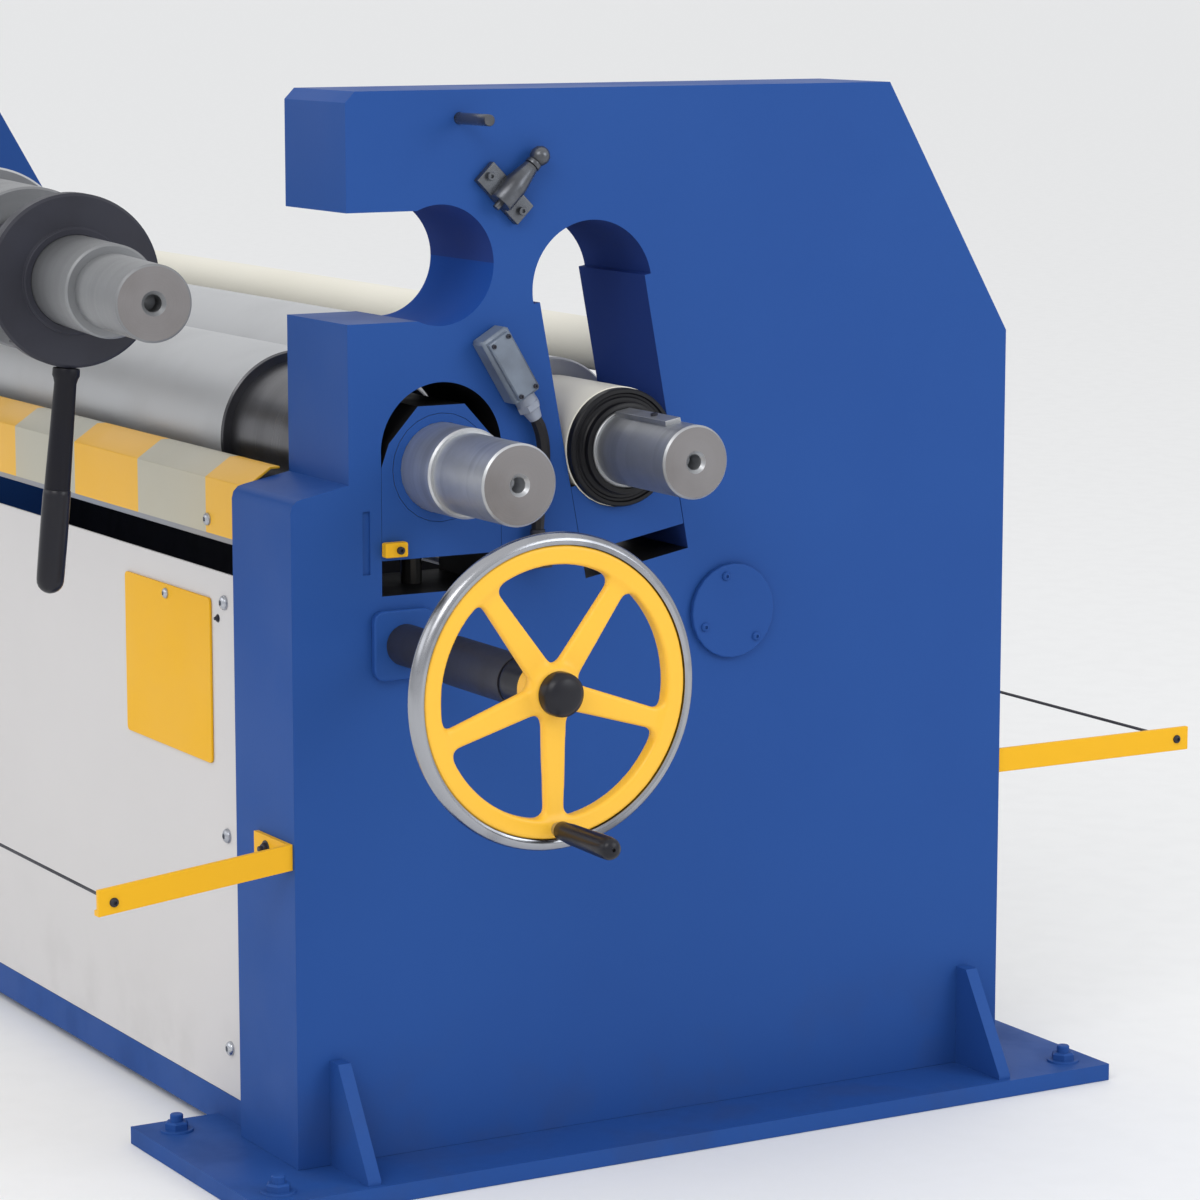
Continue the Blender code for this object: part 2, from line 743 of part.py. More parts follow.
def foot_plate(side):
    """A base plate under one frame, with its two outer gussets."""
    low_x, high_x = between(side, FACE - BASE_INNER, FACE + BASE_OUTER)
    base = box((low_x, BASE_FRONT_Y, 0), (high_x, BASE_REAR_Y, BASE_THICKNESS))
    start = FACE + GAP
    outline = [
        (side * start, BASE_THICKNESS / 2),
        (side * (start + GUSSET_FOOT), BASE_THICKNESS / 2),
        (side * (start + GUSSET_FOOT), BASE_THICKNESS + GUSSET_TOE / 4),
        (side * (start + GUSSET_TOE), BASE_THICKNESS + GUSSET_HEIGHT),
        (side * start, BASE_THICKNESS + GUSSET_HEIGHT),
    ]
    for y in (GUSSET_FRONT_Y, GUSSET_REAR_Y):
        web = plate(outline, GUSSET_THICKNESS)
        fuse(base, place(web, at(0, y, 0) @ Matrix.Rotation(math.radians(90), 4, "X")))
    return base


def anchor_holes(side):
    """The cutters of the four anchor holes in one base plate."""
    holes = []
    for x in between(side, FACE - BASE_INNER + ANCHOR_INSET, FACE + BASE_OUTER - ANCHOR_INSET):
        for y in (BASE_FRONT_Y + ANCHOR_INSET, BASE_REAR_Y - ANCHOR_INSET):
            top = BASE_THICKNESS + OVERRUN
            holes.append(rod((x, y, -OVERRUN), (x, y, top), ANCHOR_RADIUS, HOLE_SIDES))
    return holes


def base_frame():
    """The welded base: two base plates, two long rails and the members across them."""
    end = INNER_FACE - GAP
    low = BASE_THICKNESS / 2
    high = BASE_THICKNESS + BED_HEIGHT
    front_inner = BED_FRONT_Y + BED_WIDTH
    rear_inner = BED_REAR_Y - BED_WIDTH
    base = foot_plate(1)
    fuse(
        base,
        foot_plate(-1),
        box((-end, BED_FRONT_Y, low), (end, front_inner, high)),
        box((-end, rear_inner, low), (end, BED_REAR_Y, high)),
    )
    pitch = 2 * INNER_FACE / (CROSS_MEMBERS + 1)
    half = CROSS_MEMBER_WIDTH / 2
    overlap = BED_WIDTH / 2
    for index in range(CROSS_MEMBERS):
        x = (index + 1) * pitch - INNER_FACE
        member = box(
            (x - half, front_inner - overlap, low),
            (x + half, rear_inner + overlap, high - BASE_THICKNESS / 2),
        )
        fuse(base, member)
    node("base_frame", BLUE, cut(base, *anchor_holes(1), *anchor_holes(-1)))


# Panels, guard rail and tie tube


def panels():
    """The sheets between the frames and the small yellow cover on the front one."""
    end = INNER_FACE - GAP
    low_z = BASE_THICKNESS + BED_HEIGHT + GAP
    front = box((-end, PANEL_Y, low_z), (end, PANEL_Y + PANEL_THICKNESS, PANEL_HIGH_Z))
    node("front_panel", LIGHT_GREY, front)
    rear_y = BED_REAR_Y - PANEL_THICKNESS
    rear = box((-end, rear_y, low_z), (end, BED_REAR_Y, PANEL_HIGH_Z))
    node("rear_panel", LIGHT_GREY, rear)
    cover_y = PANEL_Y - GAP
    cover = box(
        (FACE - COVER_INNER, cover_y - PANEL_THICKNESS, COVER_LOW_Z),
        (FACE - COVER_OUTER, cover_y, COVER_HIGH_Z),
    )
    node("access_cover", YELLOW, cover)


def folded_sheet(points, half_length, thickness):
    """A sheet folded along X: an open strip through the points, thickened inwards."""
    mesh = bpy.data.meshes.new("strip")
    shape = bmesh.new()
    rows = [
        [shape.verts.new((x, y, z)) for y, z in points]
        for x in (-half_length, half_length)
    ]
    for index in range(len(points) - 1):
        shape.faces.new((rows[0][index], rows[1][index], rows[1][index + 1], rows[0][index + 1]))
    shape.to_mesh(mesh)
    shape.free()
    obj = bpy.data.objects.new("strip", mesh)
    bpy.context.collection.objects.link(obj)
    wall = obj.modifiers.new("Wall", "SOLIDIFY")
    wall.thickness = thickness
    wall.offset = -1
    wall.use_even_offset = True
    return bake(obj)


def guard_rail():
    """The folded rail in front of the rolls."""
    top_z = RAIL_HIGH_Z + RAIL_INCLINE_RISE
    points = [
        (PANEL_Y + RAIL_RETURN, RAIL_LOW_Z),
        (PANEL_Y, RAIL_LOW_Z),
        (PANEL_Y, RAIL_HIGH_Z),
        (PANEL_Y + RAIL_INCLINE_DEPTH, top_z),
        (PANEL_Y + RAIL_INCLINE_DEPTH + RAIL_STRIP, top_z),
    ]
    node("guard_rail", YELLOW, folded_sheet(points, INNER_FACE - GAP, RAIL_THICKNESS))


def tie_tube():
    end = INNER_FACE - GAP
    node("rear_tie_tube", CREAM, rod((-end, TIE_Y, TIE_Z), (end, TIE_Y, TIE_Z), TIE_RADIUS))


# The lift gear, shared by the front and rear rolls


def lift_screw(side, matrix, drop, travel_up, block_drop):
    """A screw whose head plate carries a bearing block."""
    head_top = -block_drop - GAP
    x = side * FRAME_MIDDLE
    screw = turned(
        [
            (0.0, head_top),
            (SCREW_HEAD_RADIUS, head_top),
            (SCREW_HEAD_RADIUS, head_top - SCREW_HEAD_HEIGHT),
            (SCREW_RADIUS, head_top - SCREW_HEAD_HEIGHT),
            (SCREW_RADIUS, screw_end(drop, travel_up)),
            (0.0, screw_end(drop, travel_up)),
        ],
        SMALL_SIDES,
    )
    return place(screw, matrix @ at(x, 0, 0))


def worm_wheel(side, matrix, drop):
    """The bronze nut of a lift screw, with the teeth that its worm turns."""
    steps = WHEEL_TEETH * 4
    outline = []
    for index in range(steps):
        angle = 2 * math.pi * (index + 0.5) / steps
        radius = WHEEL_RADIUS if index % 4 < 2 else WHEEL_RADIUS - WHEEL_TOOTH_DEPTH
        outline.append((radius * math.cos(angle), radius * math.sin(angle)))
    wheel = plate(outline, WHEEL_THICKNESS)
    half = CHAMBER_HEIGHT / 2 - GAP
    hub = rod((0, 0, -half), (0, 0, half), WHEEL_HUB_RADIUS)
    fuse(wheel, hub)
    reach = half + OVERRUN
    cut(wheel, rod((0, 0, -reach), (0, 0, reach), SCREW_RADIUS + RUNNING, SMALL_SIDES))
    return place(wheel, matrix @ at(side * FRAME_MIDDLE, 0, -drop))


def worm_profile(side):
    """The ridges and grooves of one worm as (radius, x), from its lower X to its higher X."""
    half_pitch = WORM_PITCH / 2
    start = side * FRAME_MIDDLE - WORM_THREADS * half_pitch
    profile = [(SHAFT_RADIUS, start)]
    for thread in range(WORM_THREADS):
        x = start + thread * WORM_PITCH + half_pitch
        profile += [
            (WORM_RADIUS, x - half_pitch / 2),
            (WORM_RADIUS, x),
            (WORM_RADIUS - WORM_GROOVE, x + half_pitch / 2),
        ]
    return profile[:-1] + [(SHAFT_RADIUS, start + WORM_THREADS * WORM_PITCH)]


def cross_shaft(side, reach):
    """The shaft with both worms. It reaches out of the frame on the side given."""
    blind = FACE - CHAMBER_WALL + SHAFT_BLIND_DEPTH - GAP
    low, high = (-blind, reach) if side > 0 else (-reach, blind)
    profile = [(SHAFT_RADIUS, low), *worm_profile(-1), *worm_profile(1), (SHAFT_RADIUS, high)]
    profile.reverse()
    return place(turned([(0.0, high), *profile, (0.0, low)], SMALL_SIDES), ALONG_X)


def handwheel():
    """The front handwheel with its rim, hub cap, shaft and turning crank grip."""
    outwards = at(FACE, FRONT_SHAFT_Y, FRONT_SHAFT_Z)
    turn = joint("front_adjuster_turn", outwards @ ALONG_X)
    half = RIM_DEPTH / 2
    rim_profile = [
        (RIM_INNER + GAP, WHEEL_PLANE + half),
        (RIM_OUTER - RIM_ROUND, WHEEL_PLANE + half),
        (RIM_OUTER, WHEEL_PLANE + half - RIM_ROUND),
        (RIM_OUTER, WHEEL_PLANE - half + RIM_ROUND),
        (RIM_OUTER - RIM_ROUND, WHEEL_PLANE - half),
        (RIM_INNER + GAP, WHEEL_PLANE - half),
    ]
    rim = turned(rim_profile, RIM_SIDES, closed=True)
    node("handwheel_rim", CHROME, place(rim, outwards @ ALONG_X), turn)
    node("handwheel", YELLOW, place(spider(), outwards), turn)
    cap = turned(
        [
            (0.0, HUB_FRONT + HUB_CAP_HEIGHT),
            (HUB_CAP_RADIUS - HUB_CAP_ROUND, HUB_FRONT + HUB_CAP_HEIGHT),
            (HUB_CAP_RADIUS, HUB_FRONT + HUB_CAP_HEIGHT - HUB_CAP_ROUND),
            (HUB_CAP_RADIUS, HUB_FRONT + GAP),
            (0.0, HUB_FRONT + GAP),
        ]
    )
    node("hub_cap", BLACK, place(cap, outwards @ ALONG_X), turn)
    reach = FACE + HUB_FRONT - GAP
    axis = at(0, FRONT_SHAFT_Y, FRONT_SHAFT_Z)
    node("front_cross_shaft", STEEL, place(cross_shaft(1, reach), axis), turn)
    crank = outwards @ at(0, 0, -CRANK_RADIUS)
    node("crank_bolt", CHROME, place(crank_bolt(), crank), turn)
    spin = joint("crank_grip_spin", crank @ ALONG_X, turn)
    node("crank_grip", BLACK, place(crank_grip(), crank), spin)


def spider():
    """The cast inner ring, hub and spokes of a handwheel, about +X."""
    half = INNER_RIM_DEPTH / 2
    ring = turned(
        [
            (RIM_INNER, WHEEL_PLANE + half),
            (RIM_INNER, WHEEL_PLANE - half),
            (INNER_RIM_INNER, WHEEL_PLANE - half),
            (INNER_RIM_INNER, WHEEL_PLANE + half),
        ],
        RIM_SIDES, closed=True,
    )
    place(ring, ALONG_X)
    spoke_end = (INNER_RIM_INNER + RIM_INNER) / 2
    spokes = []
    for index in range(SPOKES):
        angle = -math.pi / 2 + 2 * math.pi * index / SPOKES
        outline = [
            (SHAFT_RADIUS, -SPOKE_ROOT_HALF),
            (spoke_end, -SPOKE_END_HALF),
            (spoke_end, SPOKE_END_HALF),
            (SHAFT_RADIUS, SPOKE_ROOT_HALF),
        ]
        spoke = upright(outline, WHEEL_PLANE - SPOKE_DEPTH / 2, WHEEL_PLANE + SPOKE_DEPTH / 2)
        spokes.append(place(spoke, Matrix.Rotation(angle, 4, "X")))
    hub = rod((SLEEVE_END + GAP, 0, 0), (HUB_FRONT, 0, 0), HUB_RADIUS)
    fuse(hub, *spokes, ring)
    bore = rod(
        (SLEEVE_END - OVERRUN, 0, 0), (HUB_FRONT + OVERRUN, 0, 0),
        SHAFT_RADIUS + RUNNING, SMALL_SIDES,
    )
    bolt_hole = rod(
        (WHEEL_PLANE - OVERRUN, 0, -CRANK_RADIUS), (WHEEL_PLANE + OVERRUN, 0, -CRANK_RADIUS),
        CRANK_BOLT_RADIUS + GAP, SMALL_SIDES,
    )
    return cut(hub, bore, bolt_hole)


def crank_bolt():
    """The spindle of the crank grip, along +X, with its collar against the rim."""
    start = WHEEL_PLANE - INNER_RIM_DEPTH / 2
    collar = WHEEL_PLANE + INNER_RIM_DEPTH / 2 + GAP
    grip = collar + CRANK_COLLAR_LENGTH
    end = grip + CRANK_GRIP_LENGTH
    return shaft(
        [
            (start, CRANK_BOLT_RADIUS),
            (collar, CRANK_COLLAR_RADIUS),
            (grip, CRANK_BOLT_RADIUS),
            (end, CRANK_BOLT_RADIUS),
        ],
        SMALL_SIDES,
    )


def crank_grip():
    """The turning grip on its spindle, along +X: a slim barrel with a blind bore."""
    start = WHEEL_PLANE + INNER_RIM_DEPTH / 2 + CRANK_COLLAR_LENGTH + RUNNING + GAP
    end = start + CRANK_GRIP_LENGTH + CRANK_BOLT_RADIUS
    round_end = CRANK_GRIP_RADIUS / 2
    bore = CRANK_BOLT_RADIUS + RUNNING
    profile = [
        (0.0, end),
        (CRANK_GRIP_RADIUS - round_end, end),
        (CRANK_GRIP_RADIUS, end - round_end),
        (CRANK_GRIP_RADIUS, (start + end) / 2),
        (CRANK_GRIP_WAIST, start + CRANK_GRIP_RADIUS),
        (CRANK_GRIP_WAIST, start),
        (bore, start),
        (bore, end - CRANK_BOLT_RADIUS + RUNNING),
        (0.0, end - CRANK_BOLT_RADIUS + RUNNING),
    ]
    return place(turned(profile, SMALL_SIDES), ALONG_X)


# Front roll, its blocks and its drive


def front_block(side):
    """A block that slides in the upright slot."""
    outline = [
        (-FRONT_BLOCK_HALF, -FRONT_BLOCK_DROP),
        (FRONT_BLOCK_HALF, -FRONT_BLOCK_DROP),
        (FRONT_BLOCK_HALF, FRONT_BLOCK_SHOULDER),
        (FRONT_BLOCK_FLAT_HALF, FRONT_BLOCK_RISE),
        (-FRONT_BLOCK_FLAT_HALF, FRONT_BLOCK_RISE),
        (-FRONT_BLOCK_HALF, FRONT_BLOCK_SHOULDER),
    ]
    low, high = between(side, INNER_FACE, FACE)
    block = upright(outline, low, high)
    hole = rod((low - OVERRUN, 0, 0), (high + OVERRUN, 0, 0), FRONT_JOURNAL + BUSH_WALL + GAP)
    return place(cut(block, hole), FRONT_LIFT)


def front_bush(side):
    """A bronze bush in a front block."""
    low, high = between(side, INNER_FACE - NECK_STANDOFF + GAP, FACE)
    bush = shaft([(low, FRONT_JOURNAL + BUSH_WALL), (high, 0)], bore=FRONT_JOURNAL + RUNNING)
    return place(bush, FRONT_LIFT)


def bored_end(roll, x, direction):
    """Drills the centre hole in a roll's end."""
    start = x - direction * CENTRE_DEPTH
    hole = rod((start, 0, 0), (x + direction * OVERRUN, 0, 0), CENTRE_RADIUS, HOLE_SIDES)
    return cut(roll, hole)


def front_roll(lift):
    half = ROLL_LENGTH / 2
    neck = INNER_FACE - NECK_STANDOFF
    drive_step = -FACE - GEARBOX_STANDOFF + GAP
    drive_end = drive_step - GEARBOX_LENGTH - GEARBOX_TAIL
    roll = shaft(
        [
            (drive_end, FRONT_TIP_RADIUS),
            (drive_step, FRONT_JOURNAL),
            (-neck, NECK_RADIUS),
            (-half, ROLL_RADIUS),
            (half, NECK_RADIUS),
            (neck, FRONT_JOURNAL),
            (FACE + FRONT_JOURNAL_REACH, FRONT_TIP_RADIUS),
            (FACE + FRONT_ROLL_REACH, 0),
        ]
    )
    bored_end(roll, FACE + FRONT_ROLL_REACH, 1)
    spin = joint("front_roll_spin", FRONT_LIFT @ ALONG_X, lift)
    node("front_roll", STEEL, place(roll, FRONT_LIFT), spin)


def front_pointer():
    """The yellow pointer on the front block, beside the scale."""
    return box(
        (FACE + GAP, POINTER_FRONT_Y + GAP, POINTER_LOW_Z),
        (FACE + POINTER_THICKNESS, POINTER_REAR_Y, POINTER_HIGH_Z),
    )


def motor_steps(start, radius, length, cowl_length, fins):
    """The steps of a finned motor body and its cowl, from its flange outwards."""
    pitch = length / fins
    steps = [(start, radius)]
    for fin in range(fins):
        x = start + (fin + MOTOR_FIN_SHARE) * pitch
        steps += [(x, radius + MOTOR_FIN_HEIGHT), (x + pitch * MOTOR_FIN_SHARE, radius)]
    cowl = start + length
    return steps + [(cowl, radius + MOTOR_FIN_HEIGHT), (cowl + cowl_length, 0)]


def terminal_box(start, radius):
    return box(
        (start, -TERMINAL_WIDTH / 2, radius / 2),
        (start + TERMINAL_LENGTH, TERMINAL_WIDTH / 2, radius + TERMINAL_HEIGHT),
    )


def drive_gearmotor():
    """The worm gearmotor that hangs on the front roll's driven journal, with its torque arm."""
    near = -FACE - GEARBOX_STANDOFF
    far = near - GEARBOX_LENGTH
    middle = (near + far) / 2
    drum = rod((far, 0, 0), (near, 0, 0), GEARBOX_RADIUS)
    worm = rod(
        (middle, -WORM_HOUSING_FRONT, WORM_HOUSING_RISE),
        (middle, MOTOR_START, WORM_HOUSING_RISE), WORM_HOUSING_RADIUS,
    )
    pin_clear = TORQUE_PIN_RADIUS + RUNNING * 2
    slot_low = -TORQUE_PIN_DROP - FRONT_TRAVEL_UP - pin_clear
    slot_high = -TORQUE_PIN_DROP + FRONT_TRAVEL_DOWN + pin_clear
    arm = box(
        (near - TORQUE_ARM_THICKNESS, -TORQUE_ARM_HALF, slot_low - TORQUE_ARM_WALL),
        (near, TORQUE_ARM_HALF, -GEARBOX_RADIUS / 2),
    )
    flange = MOTOR_START - MOTOR_FLANGE_LENGTH / 2
    body_start = flange + MOTOR_FLANGE_LENGTH
    steps = motor_steps(body_start, MOTOR_RADIUS, MOTOR_LENGTH, COWL_LENGTH, MOTOR_FINS)
    motor = shaft([(flange, MOTOR_FLANGE_RADIUS), *steps], MOTOR_SIDES)
    fuse(motor, terminal_box(body_start + TERMINAL_LENGTH / 4, MOTOR_RADIUS))
    place(motor, at(middle, 0, WORM_HOUSING_RISE) @ Matrix.Rotation(math.radians(90), 4, "Z"))
    body = fuse(drum, worm, arm, motor)
    bore = rod((far - OVERRUN, 0, 0), (near + OVERRUN, 0, 0), FRONT_TIP_RADIUS + RUNNING)
    slot = box(
        (near - TORQUE_ARM_THICKNESS - OVERRUN, -TORQUE_PIN_RADIUS - RUNNING, slot_low),
        (near + OVERRUN, TORQUE_PIN_RADIUS + RUNNING, slot_high),
    )
    return place(cut(body, bore, slot), FRONT_LIFT)


def lift_gearmotor():
    """The in-line gearmotor on the drive-end frame that turns the rear cross shaft."""
    start = FACE + GAP
    gear_end = start + LIFT_FLANGE_LENGTH + LIFT_GEAR_LENGTH
    motor_start = gear_end + LIFT_FLANGE_LENGTH
    length = FACE + LIFT_MOTOR_REACH - LIFT_COWL_LENGTH - motor_start
    steps = motor_steps(motor_start, LIFT_MOTOR_RADIUS, length, LIFT_COWL_LENGTH, MOTOR_FINS)
    body = shaft(
        [
            (start, LIFT_FLANGE_RADIUS),
            (start + LIFT_FLANGE_LENGTH, LIFT_GEAR_RADIUS),
            (gear_end, LIFT_FLANGE_RADIUS),
            *steps,
        ],
        MOTOR_SIDES,
    )
    fuse(body, terminal_box(motor_start + TERMINAL_LENGTH / 4, LIFT_MOTOR_RADIUS))
    bore = rod(
        (start - OVERRUN, 0, 0), (FACE + LIFT_SHAFT_REACH + GAP, 0, 0),
        SHAFT_RADIUS + RUNNING, SMALL_SIDES,
    )
    return place(cut(body, bore), at(0, REAR_SHAFT.y, REAR_SHAFT.z) @ facing(-1))


def front_carriage():
    """All that rises and sinks with the front roll."""
    lift = joint("front_roll_lift", FRONT_LIFT)
    for end, side in ENDS:
        node("front_block_" + end, BLUE, front_block(side), lift)
        node("front_bush_" + end, BRONZE, front_bush(side), lift)
        screw = lift_screw(side, FRONT_LIFT, FRONT_DRIVE_DROP, FRONT_TRAVEL_UP, FRONT_BLOCK_DROP)
        node("front_lift_screw_" + end, STEEL, screw, lift)
    node("position_pointer", YELLOW, front_pointer(), lift)
    node("drive_gearmotor", GREY_CAST, drive_gearmotor(), lift)
    front_roll(lift)


def worm_wheels(prefix, matrix, drop):
    """The two worm wheels of one roll, each on its own axis."""
    for end, side in ENDS:
        axis = matrix @ at(side * FRAME_MIDDLE, 0, -drop)
        turn = joint(prefix + "_wheel_turn_" + end, axis)
        node(prefix + "_worm_wheel_" + end, BRONZE, worm_wheel(side, matrix, drop), turn)


# Rear roll and its blocks


def rear_block(side):
    """A saddle that slides in the slanted slot and carries a cartridge."""
    outline = [
        (-REAR_BLOCK_HALF, -REAR_BLOCK_DROP),
        (REAR_BLOCK_HALF, -REAR_BLOCK_DROP),
        (REAR_BLOCK_HALF, REAR_BLOCK_TOP),
        (-REAR_BLOCK_HALF, REAR_BLOCK_TOP),
    ]
    low, high = between(side, INNER_FACE, FACE)
    block = upright(outline, low, high)
    cradle = rod((low - OVERRUN, 0, 0), (high + OVERRUN, 0, 0), CARTRIDGE_RADIUS + GAP)
    return place(cut(block, cradle), REAR_LIFT)


def cartridge(side):
    """The round bearing housing of the rear roll."""
    low, high = between(side, INNER_FACE, FACE)
    housing = shaft([(low, CARTRIDGE_RADIUS), (high, 0)], bore=REAR_JOURNAL + RUNNING)
    return place(housing, REAR_LIFT)


def seal_flange():
    """The black seal on the drop end's cartridge, stepped down towards the journal."""
    steps = [
        (FACE + GAP, SEAL_RADIUS),
        (FACE + SEAL_THICKNESS, SEAL_HUB_RADIUS),
        (FACE + SEAL_THICKNESS + SEAL_HUB_THICKNESS, 0),
    ]
    return place(shaft(steps, bore=REAR_JOURNAL + RUNNING), REAR_LIFT)


def rear_roll(lift):
    half = ROLL_LENGTH / 2
    neck = INNER_FACE - NECK_STANDOFF
    tip = FACE + SEAL_THICKNESS
    roll = shaft(
        [
            (-tip, REAR_JOURNAL),
            (-neck, NECK_RADIUS),
            (-half, ROLL_RADIUS),
            (half, NECK_RADIUS),
            (neck, REAR_JOURNAL),
            (tip + SEAL_HUB_THICKNESS, REAR_TIP_RADIUS),
            (FACE + REAR_ROLL_REACH, 0),
        ]
    )
    bored_end(roll, FACE + REAR_ROLL_REACH, 1)
    start = FACE + SEAL_THICKNESS + KEY_START
    keyway = box(
        (start - GAP, -KEY_WIDTH / 2 - GAP, KEY_SEAT - GAP),
        (start + KEY_LENGTH + GAP, KEY_WIDTH / 2 + GAP, REAR_TIP_RADIUS + OVERRUN),
    )
    cut(roll, keyway)
    spin = joint("rear_roll_spin", REAR_LIFT @ ALONG_X, lift)
    node("rear_roll", STEEL, place(roll, REAR_LIFT), spin)
    key = box((start, -KEY_WIDTH / 2, KEY_SEAT), (start + KEY_LENGTH, KEY_WIDTH / 2, KEY_TOP))
    node("rear_roll_key", STEEL, place(key, REAR_LIFT), spin)


def rear_carriage():
    """All that rises and sinks with the rear roll."""
    lift = joint("rear_roll_lift", REAR_LIFT)
    for end, side in ENDS:
        node("rear_block_" + end, BLUE, rear_block(side), lift)
        node("rear_cartridge_" + end, CREAM, cartridge(side), lift)
        screw = lift_screw(side, REAR_LIFT, REAR_DRIVE_DROP, REAR_TRAVEL_UP, REAR_BLOCK_DROP)
        node("rear_lift_screw_" + end, STEEL, screw, lift)
    node("rear_seal_flange", BLACK, seal_flange(), lift)
    rear_roll(lift)


def rear_drive():
    """The rear cross shaft and the motor that turns it."""
    axis = at(0, REAR_SHAFT.y, REAR_SHAFT.z)
    turn = joint("rear_adjuster_turn", axis @ ALONG_X)
    node("rear_cross_shaft", STEEL, place(cross_shaft(-1, FACE + LIFT_SHAFT_REACH), axis), turn)
    node("lift_gearmotor", GREY_CAST, lift_gearmotor())


# Top roll, drawn closed about the yoke's pivot and then swung open


def swing_yoke():
    """The block with two trunnions that turns in the window and holds the top roll's tail."""
    post = rod((0, 0, -YOKE_HALF_HEIGHT), (0, 0, YOKE_HALF_HEIGHT), YOKE_RADIUS)
    boss = rod((-YOKE_BOSS_HALF, 0, 0), (YOKE_BOSS_HALF, 0, 0), YOKE_BOSS_RADIUS)
    pivot_half = YOKE_HALF_HEIGHT + PIVOT_DEPTH
    trunnions = rod((0, 0, -pivot_half), (0, 0, pivot_half), PIVOT_RADIUS)
    fuse(post, boss, trunnions)
    bush_radius = TOP_JOURNAL + RUNNING + YOKE_BUSH_WALL + GAP
    reach = YOKE_BOSS_HALF + OVERRUN
    return cut(post, rod((-reach, 0, 0), (reach, 0, 0), bush_radius))


def top_roll():
    half = ROLL_LENGTH / 2
    middle = FRAME_MIDDLE
    tail = -YOKE_BOSS_HALF - GAP - TAIL_NUT_LENGTH - TAIL_STUB
    roll = shaft(
        [
            (tail, TOP_JOURNAL),
            (TOP_NECK_START, TOP_NECK_RADIUS),
            (TOP_NECK_END, NECK_RADIUS),
            (middle - half, ROLL_RADIUS),
            (middle + half, NECK_RADIUS),
            (middle + INNER_FACE - NECK_STANDOFF, TOP_JOURNAL),
            (DROP_FACE_FROM_PIVOT + TOP_JOURNAL_REACH, TOP_TIP_RADIUS),
            (DROP_FACE_FROM_PIVOT + TOP_ROLL_REACH, 0),
        ]
    )
    return bored_end(roll, DROP_FACE_FROM_PIVOT + TOP_ROLL_REACH, 1)


def tail_nut():
    """The round nut that keeps the top roll in the yoke."""
    start = -YOKE_BOSS_HALF - GAP - TAIL_NUT_LENGTH
    return shaft([(start, TAIL_NUT_RADIUS), (-YOKE_BOSS_HALF - GAP, 0)], bore=TOP_JOURNAL + GAP)


def lock_disc():
    """The flatted bush that enters the seat, in one piece with its disc. The lever hangs along -Z."""
    start = DROP_FACE_FROM_PIVOT - FRAME_THICKNESS
    disc = DROP_FACE_FROM_PIVOT + DISC_STANDOFF
    bush = shaft(
        [
            (start, LOCK_RADIUS),
            (disc, DISC_RADIUS - EDGE_BREAK),
            (disc + EDGE_BREAK, DISC_RADIUS),
            (disc + DISC_THICKNESS - EDGE_BREAK, DISC_RADIUS - EDGE_BREAK),
            (disc + DISC_THICKNESS, DISC_RING_RADIUS),
            (disc + DISC_THICKNESS + DISC_RING_HEIGHT, 0),
        ],
        bore=TOP_JOURNAL + RUNNING,
    )
    flats = []
    for side in (1, -1):
        low_y, high_y = between(side, LOCK_FLAT_HALF, LOCK_RADIUS + OVERRUN)
        flats.append(box((start - OVERRUN, low_y, -DISC_RADIUS), (disc - GAP, high_y, DISC_RADIUS)))
    middle = disc + DISC_THICKNESS / 2
    socket = rod(
        (middle, 0, -LEVER_SOCKET), (middle, 0, -DISC_RADIUS - OVERRUN), LEVER_RADIUS + GAP, SMALL_SIDES
    )
    notch = box(
        (disc - OVERRUN, -NOTCH_BACK, DISC_RADIUS - NOTCH_DEPTH),
        (disc + DISC_THICKNESS - NOTCH_FLOOR, NOTCH_AHEAD, DISC_RADIUS + OVERRUN),
    )
    notch_angle = LATCH_ANGLE - math.radians(90) + LEVER_TURN + LEVER_LEAN
    place(notch, Matrix.Rotation(notch_angle, 4, "X"))
    return cut(bush, *flats, socket, notch)


def lock_lever():
    """The steel arm of the lever, along -Z from the disc's rim."""
    return turned(
        [
            (0.0, -LEVER_SOCKET - GAP),
            (LEVER_RADIUS, -LEVER_SOCKET - GAP),
            (LEVER_RADIUS, -DISC_RADIUS - GAP),
            (LEVER_COLLAR_RADIUS, -DISC_RADIUS - GAP),
            (LEVER_COLLAR_RADIUS, -DISC_RADIUS - LEVER_COLLAR_LENGTH),
            (LEVER_RADIUS, -DISC_RADIUS - LEVER_COLLAR_LENGTH - LEVER_RADIUS),
            (LEVER_RADIUS, -GRIP_START + GAP),
            (0.0, -GRIP_START + GAP),
        ],
        SMALL_SIDES,
    )


def lever_grip():
    """The black grip at the lever's end."""
    swell = GRIP_START + GRIP_RADIUS * 2
    round_end = arc((0, GRIP_RADIUS - GRIP_END), GRIP_RADIUS, 0, -math.pi / 2, CORNER_STEPS)
    profile = [(0.0, -GRIP_START), (GRIP_WAIST, -GRIP_START), (GRIP_RADIUS, -swell)]
    return turned([*profile, *round_end[:-1], (0.0, -GRIP_END)], SMALL_SIDES)


